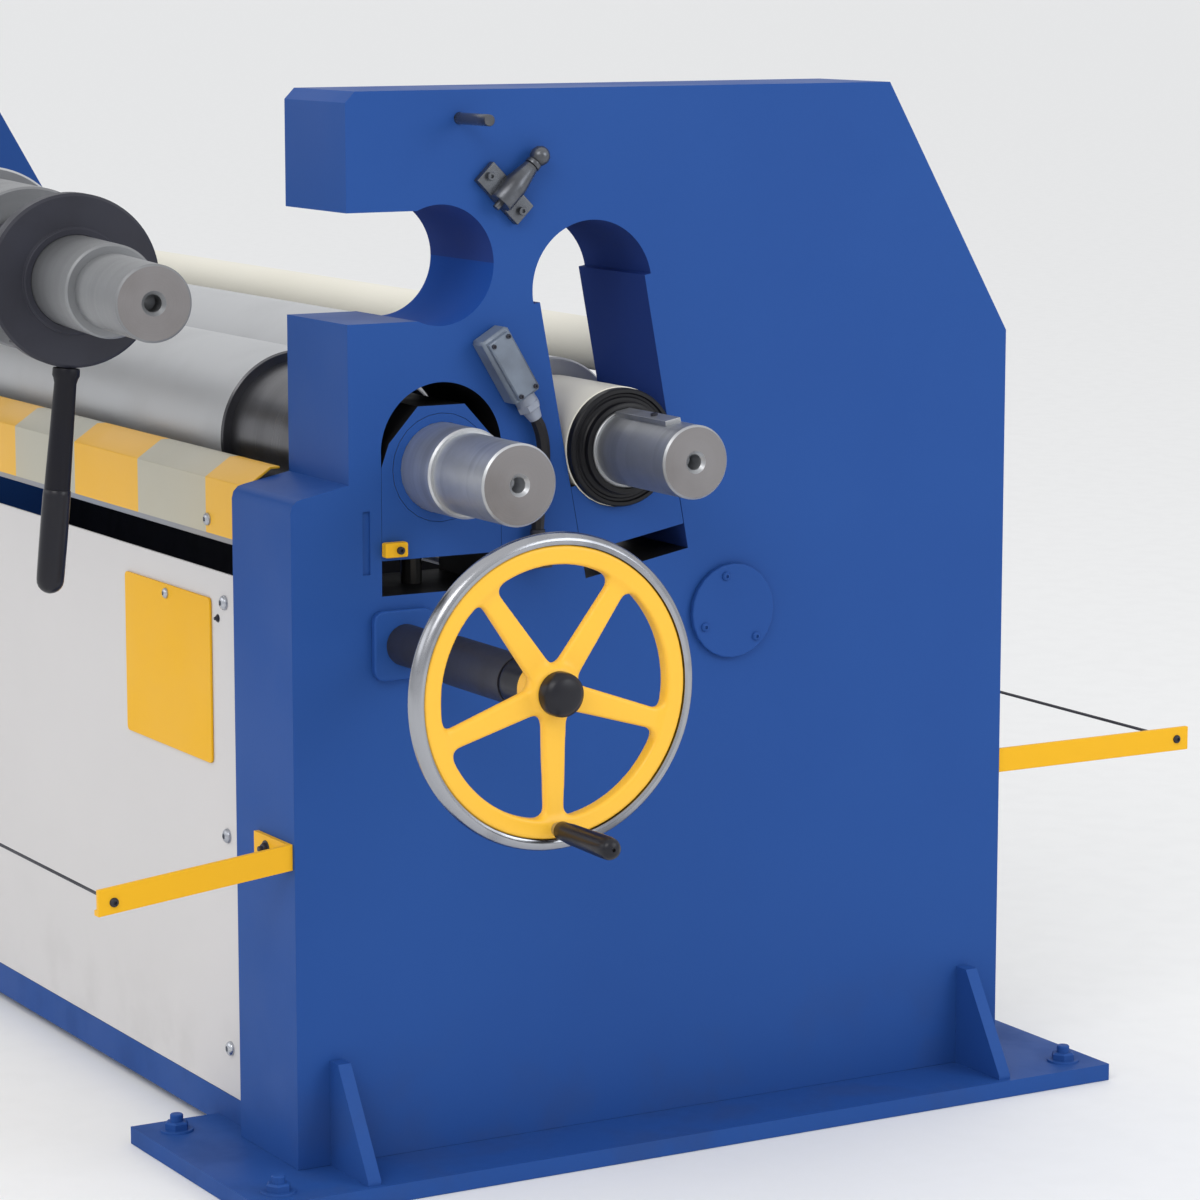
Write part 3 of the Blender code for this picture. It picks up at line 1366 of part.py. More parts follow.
def top_roll_group():
    """The yoke, the top roll and the locking disc, drawn closed and then swung to the front."""
    swing = joint("top_roll_swing", SWING_PLACE)
    spin = joint("top_roll_spin", SWING_PLACE @ ALONG_X, swing)
    lock = joint("lock_turn", SWING_PLACE @ ALONG_X, swing)
    node("swing_yoke", GREY_CAST, place(swing_yoke(), SWING_PLACE), swing)
    bush = shaft(
        [(-YOKE_BOSS_HALF, TOP_JOURNAL + RUNNING + YOKE_BUSH_WALL), (YOKE_BOSS_HALF, 0)],
        bore=TOP_JOURNAL + RUNNING,
    )
    node("yoke_bush", BRONZE, place(bush, SWING_PLACE), swing)
    node("top_roll", STEEL, place(top_roll(), SWING_PLACE), spin)
    node("top_roll_nut", DARK_STEEL, place(tail_nut(), SWING_PLACE), spin)
    hang = SWING_PLACE @ Matrix.Rotation(-LEVER_LEAN, 4, "X")
    lever_x = DROP_FACE_FROM_PIVOT + DISC_STANDOFF + DISC_THICKNESS / 2
    node("lock_disc", BLACK, place(lock_disc(), hang), lock)
    node("lock_lever", DARK_STEEL, place(lock_lever(), hang @ at(lever_x, 0, 0)), lock)
    node("lever_grip", BLACK, place(lever_grip(), hang @ at(lever_x, 0, 0)), lock)
    swing.matrix_world = SWING_PLACE @ Matrix.Rotation(-SWING_ANGLE, 4, "Z")
    bpy.context.view_layer.update()


def stop_pin():
    """The pin that stops the lever upright."""
    start = (FACE - PIN_SOCKET, STOP_PIN_Y, STOP_PIN_Z)
    end = (FACE + STOP_PIN_LENGTH, STOP_PIN_Y, STOP_PIN_Z)
    node("stop_pin", STEEL, rod(start, end, STOP_PIN_RADIUS, SMALL_SIDES))


# What sits on the drop end's face


def latch():
    """The latch that holds the locking disc: a bracket and a sprung plunger, drawn along +Z."""
    along = at(FACE, SEAT_Y, SEAT_Z) @ Matrix.Rotation(LATCH_ANGLE - math.radians(90), 4, "X")
    foot = box(
        (GAP, -LATCH_PLATE_LENGTH / 2, LATCH_PLATE_START),
        (LATCH_PLATE_THICKNESS, LATCH_PLATE_LENGTH / 2, LATCH_PLATE_START + LATCH_PLATE_DEPTH),
    )
    body = turned(
        [
            (0.0, LATCH_BODY_END),
            (LATCH_NECK_RADIUS, LATCH_BODY_END),
            (LATCH_BODY_RADIUS, LATCH_TAPER_START),
            (LATCH_BODY_RADIUS, LATCH_PLATE_START + GAP),
            (0.0, LATCH_PLATE_START + GAP),
        ],
        SMALL_SIDES,
    )
    place(body, at(LATCH_AXIS_X, 0, 0))
    fuse(foot, body)
    bore = rod(
        (LATCH_AXIS_X, 0, PLUNGER_TIP), (LATCH_AXIS_X, 0, LATCH_BODY_END + OVERRUN),
        PLUNGER_RADIUS + RUNNING, SMALL_SIDES,
    )
    node("latch_bracket", DARK_STEEL, place(cut(foot, bore), along))
    knob = arc((0, PLUNGER_KNOB), PLUNGER_KNOB_RADIUS, math.pi / 2, math.radians(-60), 5)
    plunger = turned(
        [
            (0.0, knob[0][1]),
            *knob[1:],
            (PLUNGER_RADIUS, knob[-1][1]),
            (PLUNGER_RADIUS, PLUNGER_TIP),
            (0.0, PLUNGER_TIP),
        ],
        SMALL_SIDES,
    )
    pull = joint("latch_pull", along @ at(LATCH_AXIS_X, 0, PLUNGER_TIP))
    node("latch_plunger", DARK_STEEL, place(plunger, along @ at(LATCH_AXIS_X, 0, 0)), pull)


def limit_switch():
    """The limit switch in one piece with its gland, and its cable down to the frame's gland."""
    upright_place = at(FACE, SWITCH_Y, SWITCH_Z) @ Matrix.Rotation(SWITCH_TILT, 4, "X")
    half_width = SWITCH_WIDTH / 2
    half_height = SWITCH_HEIGHT / 2
    case = box(
        (GAP, -half_width, -half_height),
        (SWITCH_DEPTH - SWITCH_LID_DEPTH, half_width, half_height),
    )
    lid = box(
        (SWITCH_DEPTH / 2, -half_width + SWITCH_LID_INSET, -half_height + SWITCH_LID_INSET),
        (SWITCH_DEPTH, half_width - SWITCH_LID_INSET, half_height - SWITCH_LID_INSET),
    )
    bevel(case, SWITCH_EDGE)
    bevel(lid, SWITCH_EDGE / 2)
    gland_end = -half_height - SWITCH_GLAND_LENGTH
    gland = turned(
        [
            (0.0, -half_height / 2),
            (SWITCH_GLAND_ROOT, -half_height / 2),
            (SWITCH_GLAND_ROOT, -half_height - SWITCH_GLAND_LENGTH / 3),
            (SWITCH_GLAND_TIP, gland_end),
            (0.0, gland_end),
        ],
        SMALL_SIDES,
    )
    place(gland, at(CABLE_OUT, 0, 0))
    node("limit_switch", GREY_CAST, place(fuse(case, lid, gland), upright_place))
    start = upright_place @ Vector((CABLE_OUT, 0, gland_end - GAP))
    foot_half = FRAME_GLAND_FOOT / 2
    foot = box(
        (FACE + GAP, FRAME_GLAND_Y - foot_half, FRAME_GLAND_Z - FRAME_GLAND_FOOT),
        (FACE + CABLE_OUT + foot_half, FRAME_GLAND_Y + foot_half, FRAME_GLAND_Z),
    )
    top_z = FRAME_GLAND_Z + FRAME_GLAND_LENGTH
    nut = rod(
        (FACE + CABLE_OUT, FRAME_GLAND_Y, FRAME_GLAND_Z - foot_half),
        (FACE + CABLE_OUT, FRAME_GLAND_Y, top_z), FRAME_GLAND_RADIUS, SMALL_SIDES,
    )
    node("frame_gland", GREY_CAST, fuse(foot, nut))
    cable_run(start, Vector((FACE + CABLE_OUT, FRAME_GLAND_Y, top_z + GAP)))


def cable_run(start, end):
    """The short cable from the switch to the frame, on a smooth curve between its two glands."""
    lead = (start.z - end.z) / 3
    first = start + Vector((0, lead * math.sin(SWITCH_TILT), -lead * math.cos(SWITCH_TILT)))
    last = end + Vector((0, 0, lead))
    curve = bpy.data.curves.new("cable", "CURVE")
    curve.dimensions = "3D"
    curve.bevel_depth = CABLE_RADIUS
    curve.bevel_resolution = 2
    curve.use_fill_caps = True
    spline = curve.splines.new("POLY")
    spline.points.add(CABLE_STEPS)
    for step, point in enumerate(spline.points):
        share = step / CABLE_STEPS
        rest = 1 - share
        position = (
            start * rest ** 3
            + first * 3 * rest ** 2 * share
            + last * 3 * rest * share ** 2
            + end * share ** 3
        )
        point.co = (*position, 1)
    obj = bpy.data.objects.new("cable", curve)
    bpy.context.collection.objects.link(obj)
    node("switch_cable", BLACK, as_mesh(obj))


def sleeve():
    """The fixed tube round the front cross shaft between the frame's pad and the handwheel."""
    ring = SLEEVE_RING_PLACE - SLEEVE_RING_LENGTH / 2
    tube = shaft(
        [
            (PAD_THICKNESS + GAP, SLEEVE_RADIUS),
            (ring, SLEEVE_RING_RADIUS),
            (ring + SLEEVE_RING_LENGTH, SLEEVE_RADIUS),
            (SLEEVE_END, 0),
        ],
        MOTOR_SIDES,
        bore=SHAFT_RADIUS + RUNNING,
    )
    node("shaft_sleeve", BLACK, place(tube, at(FACE, FRONT_SHAFT_Y, FRONT_SHAFT_Z)))


def pad():
    """The rounded pad on the outer face, round the front cross shaft."""
    corners = []
    for sign_y, sign_z, start in ((1, 1, 0), (-1, 1, 90), (-1, -1, 180), (1, -1, 270)):
        centre = (sign_y * (PAD_HALF_WIDTH - PAD_CORNER), sign_z * (PAD_HALF_HEIGHT - PAD_CORNER))
        corners += arc(centre, PAD_CORNER, math.radians(start), math.radians(start + 90), CORNER_STEPS)
    body = upright(corners, GAP, PAD_THICKNESS)
    hole_end = PAD_THICKNESS + OVERRUN
    cut(body, rod((-OVERRUN, 0, 0), (hole_end, 0, 0), SHAFT_RADIUS + RUNNING, SMALL_SIDES))
    node("shaft_pad", BLUE, place(body, at(FACE, FRONT_SHAFT_Y, FRONT_SHAFT_Z)))


def port_cover():
    """The round cover over the drop end's greasing port, with its spigot in the port."""
    steps = [
        (-CHAMBER_WALL, PORT_RADIUS - GAP),
        (GAP, PORT_COVER_RADIUS),
        (PORT_COVER_THICKNESS, 0),
    ]
    node("port_cover", BLUE, place(shaft(steps), at(FACE, PORT_Y, PORT_Z)))


# The emergency trip line


def trip_arm(side, root_y, tip_y, root_z, tip_z):
    """A yellow angle bar from the frame to the wire, with a foot on the frame."""
    out = 1 if tip_y > root_y else -1
    root = root_y + out * GAP
    half = ARM_HEIGHT / 2
    inner, outer = between(side, FACE - ARM_FACE - ARM_THICKNESS, FACE - ARM_FACE)
    web_outline = [
        (root, root_z - half), (tip_y, tip_z - half), (tip_y, tip_z + half), (root, root_z + half),
    ]
    web = upright(web_outline, inner, outer)
    flange_outline = [
        (root, root_z - half), (tip_y, tip_z - half),
        (tip_y, tip_z - half + ARM_THICKNESS), (root, root_z - half + ARM_THICKNESS),
    ]
    flange = upright(
        flange_outline, *between(side, FACE - ARM_FACE - ARM_FLANGE, FACE - ARM_FACE - ARM_THICKNESS / 2)
    )
    foot_x = between(side, FACE - ARM_FACE - ARM_FOOT, FACE - ARM_FACE - ARM_THICKNESS / 2)
    foot_y = sorted((root, root + out * ARM_THICKNESS))
    foot = box((foot_x[0], foot_y[0], root_z - half), (foot_x[1], foot_y[1], root_z + half))
    return fuse(web, flange, foot)


def trip_line():
    """Four arms and the two wires that run along the machine between their tips."""
    lines = (
        ("front", FRAME_FRONT_Y, FRONT_ARM_TIP_Y, FRONT_ARM_Z, FRONT_ARM_Z - FRONT_ARM_DROOP),
        ("rear", FRAME_REAR_Y, REAR_ARM_TIP_Y, REAR_ARM_Z, REAR_ARM_Z),
    )
    reach = FACE - ARM_FACE - ARM_THICKNESS - GAP
    for place_name, root_y, tip_y, root_z, tip_z in lines:
        for end, side in ENDS:
            arm = trip_arm(side, root_y, tip_y, root_z, tip_z)
            node("_".join(("trip_arm", place_name, end)), YELLOW, arm)
        wire_y = tip_y - math.copysign(WIRE_INSET, tip_y)
        wire = rod((-reach, wire_y, tip_z), (reach, wire_y, tip_z), WIRE_RADIUS, SMALL_SIDES // 2)
        node("trip_wire_" + place_name, BLACK, wire)


def main():
    empty_scene()
    drop_end_frame()
    drive_end_frame()
    base_frame()
    panels()
    guard_rail()
    tie_tube()
    front_carriage()
    worm_wheels("front", FRONT_LIFT, FRONT_DRIVE_DROP)
    handwheel()
    rear_carriage()
    worm_wheels("rear", REAR_LIFT, REAR_DRIVE_DROP)
    rear_drive()
    top_roll_group()
    stop_pin()
    latch()
    limit_switch()
    sleeve()
    pad()
    port_cover()
    trip_line()


main()
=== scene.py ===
"""A plate rolling machine, dressed: its finishes, its fine pieces, the studio and the camera.

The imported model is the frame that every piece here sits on. Metres, +Z up. X runs along the rolls
with the drop end at +X, and -Y is the operator's side.
"""

import json
import logging
import math
from contextlib import contextmanager
from dataclasses import dataclass
from enum import Enum
from itertools import product
from typing import Callable, Iterator

import bmesh
import bpy
from mathutils import Matrix, Vector

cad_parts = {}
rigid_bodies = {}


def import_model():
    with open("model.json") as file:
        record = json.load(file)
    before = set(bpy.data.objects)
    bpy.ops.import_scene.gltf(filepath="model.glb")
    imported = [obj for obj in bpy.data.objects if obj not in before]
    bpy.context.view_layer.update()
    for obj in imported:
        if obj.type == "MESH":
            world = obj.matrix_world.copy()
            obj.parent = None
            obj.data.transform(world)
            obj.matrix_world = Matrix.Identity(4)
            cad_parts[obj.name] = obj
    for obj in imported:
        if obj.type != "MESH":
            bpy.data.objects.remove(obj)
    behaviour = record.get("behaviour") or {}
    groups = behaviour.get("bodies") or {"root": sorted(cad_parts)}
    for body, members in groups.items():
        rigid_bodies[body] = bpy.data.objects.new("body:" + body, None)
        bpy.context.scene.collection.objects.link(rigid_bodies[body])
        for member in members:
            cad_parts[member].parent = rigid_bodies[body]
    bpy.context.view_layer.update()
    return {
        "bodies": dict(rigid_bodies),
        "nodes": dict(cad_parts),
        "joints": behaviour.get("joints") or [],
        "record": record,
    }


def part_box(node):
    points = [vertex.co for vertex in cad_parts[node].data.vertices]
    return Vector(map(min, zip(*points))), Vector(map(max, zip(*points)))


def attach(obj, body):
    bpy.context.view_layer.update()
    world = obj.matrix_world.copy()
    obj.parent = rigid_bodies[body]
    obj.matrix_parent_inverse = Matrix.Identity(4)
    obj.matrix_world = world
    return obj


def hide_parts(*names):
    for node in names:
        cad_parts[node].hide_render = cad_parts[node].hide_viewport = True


LOG = logging.getLogger("plate_rolling_machine")
DONE = "_finished"

Profile = list[tuple[float, float]]
Place = tuple[float, float, float]
Colour = tuple[float, float, float]
Chooser = Callable[[Vector, Vector], int]

ALONG_X = Matrix.Rotation(math.radians(90), 4, "Y")
FACE_X = 1.56
INNER_X = 1.41
SEAT = Vector((0.0, -0.2525, 1.015))
FRONT_AXIS = Vector((0.0, -0.2525, 0.793))
REAR_AXIS = Vector((0.0, -0.0275, 0.8025))
REAR_TILT = math.radians(10.5)
HAND_SHAFT = Vector((0.0, -0.304, 0.601))
PIVOT = Vector((-1.485, -0.2525, 1.015))
SWING = math.radians(8.0)
LEVER_LEAN = math.radians(7.6)
TO_DROP_END = (1, 0, 0)
TO_DRIVE_END = (-1, 0, 0)
TO_FRONT = (0, -1, 0)
TO_BACK = (0, 1, 0)
ENDS = (("drop", 1), ("drive", -1))
SAME_SPOT = 1e-6
WELD = 1e-5
FLAT_ENOUGH = math.radians(0.6)


class Body(Enum):
    """The moving groups of the machine that pieces here ride on."""

    MACHINE = "machine"
    FRONT_CARRIAGE = "front_carriage"
    FRONT_ROLL = "front_roll"
    ADJUSTER = "front_adjuster"
    CRANK_GRIP = "crank_grip"
    REAR_CARRIAGE = "rear_carriage"
    REAR_ROLL = "rear_roll"
    YOKE = "swing_yoke"
    TOP_ROLL = "top_roll"
    LOCK = "lock"
    PLUNGER = "latch_plunger"


class ScrewHead(Enum):
    """The kinds of screw head on the machine."""

    BUTTON = "button"
    HEXAGON = "hexagon"
    SOCKET = "socket"


class Graph:
    """Adds nodes to one node tree and wires them."""

    def __init__(self, tree: bpy.types.NodeTree) -> None:
        """Keeps the tree to work on.

        Args:
            tree: A material's or a group's node tree.
        """
        self.tree = tree

    def add(self, kind: str, **settings: object) -> bpy.types.Node:
        """Adds one node.

        Args:
            kind: The node's type name.
            settings: Properties to set on it.

        Returns:
            The new node.
        """
        node = self.tree.nodes.new(kind)
        for key, value in settings.items():
            setattr(node, key, value)
        return node

    def wire(self, value: object, socket: bpy.types.NodeSocket) -> None:
        """Feeds a socket from another socket or sets its value.

        Args:
            value: A socket to link from, or a number or colour.
            socket: The input socket.
        """
        if isinstance(value, bpy.types.NodeSocket):
            self.tree.links.new(value, socket)
        elif isinstance(value, tuple) and len(value) == 3 and socket.type == "RGBA":
            socket.default_value = (*value, 1)
        else:
            socket.default_value = value

    def math(self, operation: str, *values: object) -> bpy.types.NodeSocket:
        """Adds a Math node.

        Args:
            operation: The operation's name.
            values: Up to three inputs, sockets or numbers.

        Returns:
            Its output socket.
        """
        node = self.add("ShaderNodeMath", operation=operation)
        for value, socket in zip(values, node.inputs):
            self.wire(value, socket)
        return node.outputs[0]

    def mix(self, factor: object, first: object, second: object) -> bpy.types.NodeSocket:
        """Blends two colours.

        Args:
            factor: The share of the second colour.
            first: A colour or socket.
            second: A colour or socket.

        Returns:
            The blended colour's socket.
        """
        node = self.add("ShaderNodeMix", data_type="RGBA")
        self.wire(factor, node.inputs["Factor"])
        self.wire(first, node.inputs[6])
        self.wire(second, node.inputs[7])
        return node.outputs[2]

    def split(self, vector: object) -> bpy.types.NodeOutputs:
        """Gives the X, Y and Z of a place."""
        node = self.add("ShaderNodeSeparateXYZ")
        self.wire(vector, node.inputs[0])
        return node.outputs

    def group(self, tree: bpy.types.NodeTree, values: dict[str, object]) -> bpy.types.NodeOutputs:
        """Places a shared node group.

        Args:
            tree: The group's tree.
            values: What its inputs get, by name.

        Returns:
            Its outputs.
        """
        node = self.add("ShaderNodeGroup", node_tree=tree)
        for label, value in values.items():
            self.wire(value, node.inputs[label])
        return node.outputs

    def noise(self, vector: object, scale: float, detail: float = 2.0) -> bpy.types.NodeSocket:
        """Adds a Noise texture.

        Args:
            vector: The socket with the place to read.
            scale: How fine the noise is.
            detail: How many octaves it has.

        Returns:
            Its factor socket.
        """
        node = self.add("ShaderNodeTexNoise")
        self.wire(vector, node.inputs["Vector"])
        node.inputs["Scale"].default_value = scale
        node.inputs["Detail"].default_value = detail
        return node.outputs["Fac"]

    def span(
        self, value: object, low: float, high: float, start: float, end: float
    ) -> bpy.types.NodeSocket:
        """Maps a value from one range to another, smoothly and clamped.

        Args:
            value: The socket to map.
            low: The value that gives the start.
            high: The value that gives the end.
            start: The result at the low value.
            end: The result at the high value.

        Returns:
            The mapped value's socket.
        """
        node = self.add("ShaderNodeMapRange", interpolation_type="SMOOTHSTEP")
        self.wire(value, node.inputs["Value"])
        limits = {"From Min": low, "From Max": high, "To Min": start, "To Max": end}
        for name, number in limits.items():
            node.inputs[name].default_value = number
        return node.outputs["Result"]


class MaterialGraph(Graph):
    """A material's graph, with its Principled shader's inputs and its Object coordinates."""

    def __init__(self, material: bpy.types.Material) -> None:
        """Keeps the material's tree.

        Args:
            material: A material that uses nodes.
        """
        super().__init__(material.node_tree)
        self.shader = material.node_tree.nodes["Principled BSDF"].inputs
        self.place = self.add("ShaderNodeTexCoord").outputs["Object"]

    def bump(self, height: bpy.types.NodeSocket, strength: float, depth: float) -> None:
        """Feeds the shader's Normal through a Bump node.

        Args:
            height: The height socket.
            strength: The bump's strength.
            depth: Its depth in metres.
        """
        node = self.add("ShaderNodeBump")
        node.inputs["Strength"].default_value = strength
        node.inputs["Distance"].default_value = depth
        self.wire(height, node.inputs["Height"])
        self.wire(node.outputs["Normal"], self.shader["Normal"])


class GroupKit:
    """The node groups that several finishes share, each built once."""

    groups: dict[str, bpy.types.NodeTree] = {}

    @classmethod
    def empty(
        cls, name: str, inputs: dict[str, str], outputs: dict[str, str]
    ) -> tuple[Graph, dict, dict]:
        """Makes a group with its sockets.

        Args:
            name: The group's name.
            inputs: Socket names and their types.
            outputs: Socket names and their types.

        Returns:
            The graph, the group's input sockets by name and its output sockets by name.
        """
        tree = bpy.data.node_groups.new(name, "ShaderNodeTree")
        for label, kind in inputs.items():
            tree.interface.new_socket(name=label, in_out="INPUT", socket_type=kind)
        for label, kind in outputs.items():
            tree.interface.new_socket(name=label, in_out="OUTPUT", socket_type=kind)
        cls.groups[name] = tree
        graph = Graph(tree)
        entry = graph.add("NodeGroupInput")
        leave = graph.add("NodeGroupOutput")
        return graph, {s.name: s for s in entry.outputs}, {s.name: s for s in leave.inputs}

    @classmethod
    def paint(cls) -> bpy.types.NodeTree:
        """The cloudiness, orange peel, rubbed patches and darker patches near the floor of sprayed
        paint.

        Returns:
            The group's tree.
        """
        if "Paint surface" in cls.groups:
            return cls.groups["Paint surface"]
        number = "NodeSocketFloat"
        graph, given, result = cls.empty(
            "Paint surface",
            {
                "Vector": "NodeSocketVector", "Colour": "NodeSocketColor",
                "Deep colour": "NodeSocketColor", "Dirt colour": "NodeSocketColor",
                "Cloudiness": number, "Roughness": number,
            },
            {"Colour": "NodeSocketColor", "Roughness": number, "Height": number},
        )
        cloud = graph.noise(given["Vector"], 2.6, 4.0)
        cloud = graph.span(cloud, 0.35, 0.7, 0.0, 1.0)
        clouded = graph.math("MULTIPLY", cloud, given["Cloudiness"])
        body = graph.mix(clouded, given["Colour"], given["Deep colour"])
        # Darker, rougher patches towards the floor, below 0.22 m.
        low = graph.span(graph.split(given["Vector"])["Z"], 0.0, 0.22, 0.16, 0.0)
        spread = graph.span(graph.noise(given["Vector"], 11.0, 6.0), 0.45, 0.7, 0.0, 1.0)
        dirt = graph.math("MULTIPLY", low, spread)
        graph.wire(graph.mix(dirt, body, given["Dirt colour"]), result["Colour"])
        rubbed = graph.span(graph.noise(given["Vector"], 7.0, 5.0), 0.3, 0.75, -0.05, 0.08)
        worn = graph.math("ADD", rubbed, dirt)
        graph.wire(graph.math("ADD", given["Roughness"], worn), result["Roughness"])
        peel = graph.noise(given["Vector"], 210.0, 2.0)
        wave = graph.noise(given["Vector"], 24.0, 2.0)
        graph.wire(graph.math("ADD", peel, graph.math("MULTIPLY", wave, 1.5)), result["Height"])
        return cls.groups["Paint surface"]

    @classmethod
    def turning(cls) -> bpy.types.NodeTree:
        """The rings that a lathe or grinder leaves, along the axis and across an end face.

        Returns:
            The group's tree.
        """
        if "Turning marks" in cls.groups:
            return cls.groups["Turning marks"]
        number = "NodeSocketFloat"
        graph, given, result = cls.empty(
            "Turning marks",
            {"Vector": "NodeSocketVector", "Density": number},
            {"Rings": number, "Bands": number, "Smudge": number},
        )
        place = graph.split(given["Vector"])
        square = [graph.math("MULTIPLY", place[axis], place[axis]) for axis in ("Y", "Z")]
        run = graph.math("ADD", place["X"], graph.math("SQRT", graph.math("ADD", *square)))
        for label, factor, detail in (("Rings", 1.0, 5.0), ("Bands", 0.06, 3.0)):
            noise = graph.add("ShaderNodeTexNoise", noise_dimensions="1D")
            pace = graph.math("MULTIPLY", given["Density"], factor)
            graph.wire(graph.math("MULTIPLY", run, pace), noise.inputs["W"])
            noise.inputs["Scale"].default_value = 1.0
            noise.inputs["Detail"].default_value = detail
            graph.wire(noise.outputs["Fac"], result[label])
        smudge = graph.span(graph.noise(given["Vector"], 9.0, 5.0), 0.4, 0.75, 0.0, 1.0)
        graph.wire(smudge, result["Smudge"])
        return cls.groups["Turning marks"]


PEEL_DEPTH = 0.0006
RING_DEPTH = 0.0002
GRAIN_DEPTH = 0.0004
RING_ROUGHNESS = 0.08
SMUDGE_ROUGHNESS = 0.1


@dataclass(frozen=True)
class Finish:
    """A surface finish with its own material.

    The name is also the material's name, roughness is the shader's middle value and sheen its
    specular level.
    """

    name: str
    colour: Colour
    roughness: float = 0.45
    metallic: float = 0.0
    sheen: float = 0.5

    def material(self) -> bpy.types.Material:
        """Gives the finish's material, made on first use.

        Returns:
            The material.
        """
        known = bpy.data.materials.get(self.name)
        if known:
            return known
        material = bpy.data.materials.new(self.name)
        material.use_nodes = True
        graph = MaterialGraph(material)
        graph.shader["Metallic"].default_value = self.metallic
        graph.shader["Specular IOR Level"].default_value = self.sheen
        self.wire(graph)
        return material

    def wire(self, graph: MaterialGraph) -> None:
        """Wires the finish's pattern into the shader."""
        raise NotImplementedError


@dataclass(frozen=True)
class Enamel(Finish):
    """Sprayed machine paint."""

    sheen: float = 0.15
    deep: Colour = (0.02, 0.06, 0.24)
    dirt: Colour = (0.05, 0.05, 0.055)
    cloudiness: float = 0.35
    peel: float = 0.12

    def base(self, graph: MaterialGraph) -> object:
        """Gives the paint's colour before wear, a colour or a socket: here one colour."""
        return self.colour

    def wire(self, graph: MaterialGraph) -> None:
        """Wires paint with its clouds, darker patches near the floor and orange peel.

        Args:
            graph: The material's graph.
        """
        values = {
            "Vector": graph.place, "Colour": self.base(graph), "Deep colour": self.deep,
            "Dirt colour": self.dirt, "Cloudiness": self.cloudiness, "Roughness": self.roughness,
        }
        worn = graph.group(GroupKit.paint(), values)
        graph.wire(worn["Colour"], graph.shader["Base Color"])
        graph.wire(worn["Roughness"], graph.shader["Roughness"])
        graph.bump(worn["Height"], self.peel, PEEL_DEPTH)


@dataclass(frozen=True)
class StripedEnamel(Enamel):
    """Paint in two colours that take turns along X."""

    other: Colour = (0.45, 0.44, 0.37)
    hem: Colour = (0.2, 0.225, 0.28)
    hem_z: float = 0.7015
    first_edge: float = 1.302
    stripe: float = 0.192

    def base(self, graph: MaterialGraph) -> object:
        """Gives the stripes along the machine and the plain hem under them.

        Args:
            graph: The material's graph.

        Returns:
            The striped colour's socket.
        """
        place = graph.split(graph.place)
        from_edge = graph.math("SUBTRACT", self.first_edge, place["X"])
        run = graph.math("DIVIDE", from_edge, self.stripe * 2)
        first = graph.math("LESS_THAN", graph.math("FRACT", run), 0.5)
        striped = graph.mix(first, self.colour, self.other)
        return graph.mix(graph.math("LESS_THAN", place["Z"], self.hem_z), striped, self.hem)


@dataclass(frozen=True)
class TurnedMetal(Finish):
    """Metal that was turned or ground round an axis along X, which may be swung about Z."""

    dark: Colour = (0.2, 0.2, 0.21)
    axis: Place = (0.0, 0.0, 0.0)
    swing: float = 0.0
    density: float = 900.0
    marks: float = 0.25
    smudges: float = 0.3

    def wire(self, graph: MaterialGraph) -> None:
        """Wires metal with its turning rings and handling smudges.

        Args:
            graph: The material's graph.
        """
        centred = graph.add("ShaderNodeMapping", vector_type="TEXTURE")
        graph.wire(graph.place, centred.inputs["Vector"])
        centred.inputs["Location"].default_value = self.axis
        centred.inputs["Rotation"].default_value = (0.0, 0.0, self.swing)
        values = {"Vector": centred.outputs["Vector"], "Density": self.density}
        marked = graph.group(GroupKit.turning(), values)
        banded = graph.span(marked["Bands"], 0.3, 0.75, 0.0, 0.6)
        soiled = graph.math("MULTIPLY", marked["Smudge"], self.smudges)
        shade = graph.math("MAXIMUM", graph.math("MULTIPLY", banded, self.marks), soiled)
        graph.wire(graph.mix(shade, self.colour, self.dark), graph.shader["Base Color"])
        ringed = graph.math("MULTIPLY", marked["Rings"], 2 * RING_ROUGHNESS)
        rough = graph.math("ADD", ringed, self.roughness - RING_ROUGHNESS)
        smudged = graph.math("MULTIPLY", marked["Smudge"], SMUDGE_ROUGHNESS)
        graph.wire(graph.math("ADD", rough, smudged), graph.shader["Roughness"])
        graph.bump(marked["Rings"], self.marks, RING_DEPTH)


@dataclass(frozen=True)
class RoughCoat(Finish):
    """Oxide, moulded plastic, cast or bronze surfaces with a fine grain."""

    dark: Colour = (0.008, 0.008, 0.01)
    grain: float = 350.0
    depth: float = 0.2
    patches: float = 0.4

    def wire(self, graph: MaterialGraph) -> None:
        """Wires a grained surface with rubbed patches.

        Args:
            graph: The material's graph.
        """
        patch = graph.span(graph.noise(graph.place, 18.0, 5.0), 0.38, 0.68, 0.0, 1.0)
        mixed = graph.mix(graph.math("MULTIPLY", patch, self.patches), self.colour, self.dark)
        graph.wire(mixed, graph.shader["Base Color"])
        rough = graph.math("ADD", graph.math("MULTIPLY", patch, 0.14), self.roughness - 0.05)
        graph.wire(rough, graph.shader["Roughness"])
        graph.bump(graph.noise(graph.place, self.grain, 3.0), self.depth, GRAIN_DEPTH)


FRONT_AT = (0.0, FRONT_AXIS.y, FRONT_AXIS.z)
REAR_AT = (0.0, REAR_AXIS.y, REAR_AXIS.z)
WHEEL_AT = (FACE_X, HAND_SHAFT.y, HAND_SHAFT.z)

